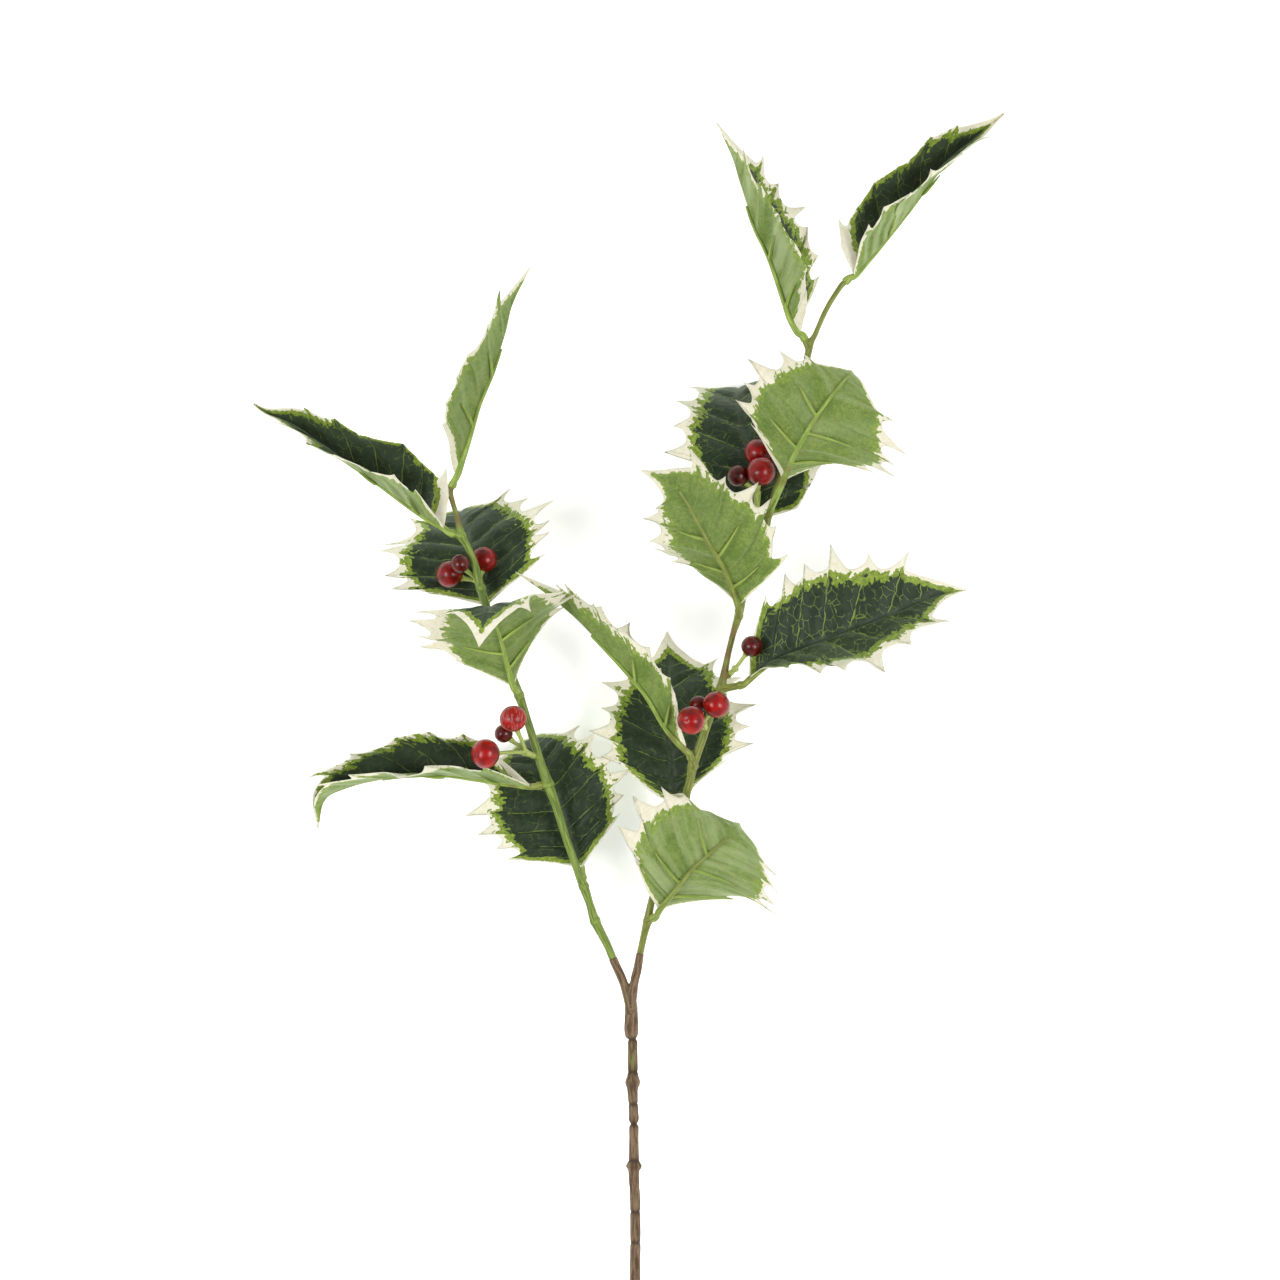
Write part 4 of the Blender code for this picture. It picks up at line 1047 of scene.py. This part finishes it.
weave = sheet.scaled(1.0, 1.0, 0.0).noise(3.0, 2.0)
(0.44 + 0.16 * weave + 0.1 * edge.ramp(-1.6, -1.0)).wire(shader, "Roughness")
relief = from_vein.ramp(0.9, 0.1) * 0.8 + 0.25 * weave + 0.3 * cells.ramp(0.3, 0.0)
add_bump(relief, shader, 0.5, 0.0004)

leaf_back, shader, start = fabric("leaf_back", 0.62, 0.25, 0.3, (0.8, 0.92, 0.62), 0.5)
sheet, edge, from_vein, (place, margin) = printed(start)
woven = sheet.noise(1.9, 4.0)
clouds = 0.5 * sheet.noise(0.12, 2.0) + 0.5 * sheet.noise(0.6, 4.0)
back = clouds.ramp(0.3, 0.7).mix(*BACK_SAGE)
back = (woven.ramp(0.46, 0.66) * 0.55).mix(back, paint(70, 97, 38))
fan = start.joined(place * 4.0, margin * 0.05, sheet.axis(2)).noise(0.55, 3.0)
# Painted sheen: tilted backs painted paler in streaks along the pleats.
pale = start.attribute("painted_sheen", 2) * fan.ramp(0.34, 0.66)
back = (pale * 0.75).mix(back, BACK_SHEEN)
crease = from_vein.ramp(0.5, 0.12)
back = (crease * 0.22).mix(back, paint(168, 184, 124))
back = edge.ramp(-5.0, -2.2).mix(back, sheet.dapple(0.8, 3.0, BACK_BAND))
back = edge.ramp(-1.5, -1.05).mix(back, sheet.dapple(0.7, 3.0, BACK_CREAM))
back.wire(shader, "Base Color")
(0.55 + 0.2 * woven).wire(shader, "Roughness")
add_bump(crease * 0.8 + 0.4 * woven, shader, 0.5, 0.0004)

for number, (name, leaf) in enumerate(LEAVES.items(), 1):
    mesh = blade_mesh(name, leaf, midribs[name], float(number))
    show(f"{name}_blade_surface", mesh, f"{name}_blade")


# --- The berry stalks -----------------------------------------------------------------------------
# One pale green moulding for each cluster: a base that plugs on the stub, a knob where the stalks
# part, and a ribbed stalk that flares to a small calyx under each berry.

# Each cluster's knob, and its berries: x, y, z and radius.
CLUSTERS = {
    "left_low": ((-41.5, 0.5, 41),
                 [(-56.5, 0.5, 56.5, 5.7), (-46, 14, 47, 5.3), (-50, 8, 40, 3.7)]),
    "left_high": ((-60, 67.5, 36.5),
                  [(-58, 77, 34, 5.1), (-67, 75, 46, 3.7), (-71.5, 71, 39, 5.3)]),
    "right_low": ((29, 12.5, 42), [(24, 13.5, 54, 5.5), (34, 19.5, 47, 5.3), (27, 19.5, 41, 3.5)]),
    "right_single": ((41.5, 33.6, 42), [(48, 42.5, 47, 4.2)]),
    "right_high": ((50, 103, 48.5),
                   [(50.5, 119, 45, 5.3), (51.5, 111, 53.5, 5.7), (42.5, 109.5, 49, 4.3)]),
}
STALK_RADIUS = 0.85
CALYX_RADIUS = 1.35
KNOB_RADIUS = 1.6
# How far the base reaches back over the stub, where it is narrowest, the length of the calyx and
# how far each stalk bows out halfway.
CUP_REACH = 0.6
STALK_THROAT_REACH = -1.2
CALYX_LENGTH = 1.6
STALK_BOW = (0.25, 0.25, 0.15)
STALK_VOXEL = 0.2

stalk_plastic = plastic(
    "stalk_green", paint(150, 172, 64), paint(200, 212, 132), paint(128, 112, 56))
for number, (name, (knob_spot, berries)) in enumerate(CLUSTERS.items()):
    root, joint = STUBS[name]
    cup, throat = toward(joint, root, CUP_REACH), toward(joint, root, STALK_THROAT_REACH)
    lip = toward(knob_spot, throat, -0.4)
    bars = [Bar([(*cup, BERRY_STUB_RADIUS * 1.15), (*throat, BERRY_STUB_RADIUS * 0.9),
                 (*lip, KNOB_RADIUS)])]
    ends = [cup, lip]
    for *spot, radius in berries:
        end = toward(spot, knob_spot, 0.96 * radius)
        neck = toward(end, knob_spot, CALYX_LENGTH)
        half = (np.array(knob_spot) + neck) / 2 + STALK_BOW
        bars.append(Bar([(*knob_spot, STALK_RADIUS), (*half, STALK_RADIUS * 0.9),
                         (*neck, STALK_RADIUS), (*end, CALYX_RADIUS)]))
        ends.append(end)
    mesh = moulding(f"{name}_stalks", bars, STALK_VOXEL, 3, 1.3 * number, 0.06)
    brush_brown(mesh, (ends, 1.3, 0.55))
    mesh.materials.append(stalk_plastic)
    show(f"{name}_stalks_surface", mesh, f"{name}_berry_stalks")


# --- The berries ----------------------------------------------------------------------------------
# Glossy lacquered plastic beads, a little flat and uneven, with a dimple and a dark blossom scar at
# the far end. Big ones are red, small ones maroon; one red one is scuffed and frosted.

BERRY_SEGMENTS = 72
BERRY_RINGS = 48
SMALL_BERRY = 4.5
SCUFFED = "left_low_berry_2"


def berry_mesh(name, centre, radius, axis, seed):
    """A berry turned about its stalk's axis, with its own place on the bead as an attribute."""
    axis = unit(axis)
    outward = unit(np.cross(axis, (0.3, 0.2, 1.0)))
    aside = np.cross(axis, outward)
    turn = np.pi * np.arange(1, BERRY_RINGS)[:, None] / BERRY_RINGS
    angle = 2 * np.pi * np.arange(BERRY_SEGMENTS)[None, :] / BERRY_SEGMENTS
    uneven = 1 + 0.012 * np.sin(2 * angle + seed) * np.sin(turn)
    uneven = uneven + 0.008 * np.sin(3 * angle - 2 * turn + seed)
    dimple = 1 - 0.05 * np.exp(-(((np.pi - turn) / 0.16) ** 2))
    spread = (np.sin(turn) * uneven)[..., None]
    rise = (0.97 * np.cos(turn) * uneven * dimple)[..., None]
    ring = outward * np.cos(angle)[..., None] + aside * np.sin(angle)[..., None]
    poles = np.outer((-0.97, 0.92), axis)
    bead = np.vstack([(ring * spread - axis * rise).reshape(-1, 3), poles])
    near, far = len(bead) - 2, len(bead) - 1
    grid = np.arange(near).reshape(BERRY_RINGS - 1, BERRY_SEGMENTS)
    onward = np.roll(grid, -1, axis=1)
    faces = np.stack([grid[:-1], onward[:-1], onward[1:], grid[1:]], -1).reshape(-1, 4).tolist()
    faces += [(near, after, here) for here, after in zip(grid[0], onward[0])]
    faces += [(far, here, after) for here, after in zip(grid[-1], onward[-1])]
    mesh = bpy.data.meshes.new(name)
    mesh.from_pydata((bead * radius + centre).tolist(), [], faces)
    add_attribute(mesh, "bead", bead + seed)
    add_attribute(mesh, "blossom", bead @ axis)
    return mesh


def lacquer(name, deep, bright, scuffs):
    """Lacquered plastic with faint mottling, dust specks and a dark blossom scar."""
    material, shader, start = new_material(name, 0.28, 0.42)
    bead = start.attribute("bead", 1)
    skin = bead.dapple(1.6, 4.0, (deep, bright))
    specks = bead.noise(9.0, 2.0)
    skin = (specks.ramp(0.7, 0.78) * 0.25).mix(skin, paint(170, 90, 76))
    scratch = bead.scaled(6.0, 1.0, 1.6).noise(2.2, 3.0).ramp(0.5, 0.66) * scuffs
    skin = (scratch * 0.55).mix(skin, paint(206, 128, 120))
    scar = start.attribute("blossom", 2).ramp(0.955, 0.975)
    (scar * 0.85).mix(skin, paint(38, 16, 10)).wire(shader, "Base Color")
    (0.24 + 0.12 * specks + 0.35 * scratch + 0.3 * scar).wire(shader, "Roughness")
    add_bump(bead.noise(3.0, 3.0) + 0.6 * scratch, shader, 0.35, 0.0003)
    return material


lacquers = {
    "ripe": lacquer("berry_crimson", paint(92, 3, 1), paint(152, 10, 6), 0.0),
    "red_berry": lacquer("berry_red", paint(112, 4, 1), paint(176, 11, 5), 0.0),
    "small_berry": lacquer("berry_maroon", paint(58, 5, 1), paint(106, 14, 5), 0.0),
    "scuffed": lacquer("berry_scuffed", paint(132, 8, 6), paint(186, 24, 18), 1.0),
}
for cluster, (knob_spot, berries) in CLUSTERS.items():
    for number, (*spot, radius) in enumerate(berries, 1):
        name = f"{cluster}_berry_{number}"
        slot = "small_berry" if radius < SMALL_BERRY else "red_berry"
        finish = "ripe" if slot == "red_berry" and "high" in cluster else slot
        axis = np.subtract(spot, knob_spot)
        mesh = berry_mesh(name, spot, radius, axis, 2.1 * number + spot[0])
        mesh.materials.append(lacquers["scuffed" if name == SCUFFED else finish])
        show(f"{name}_surface", mesh, name)
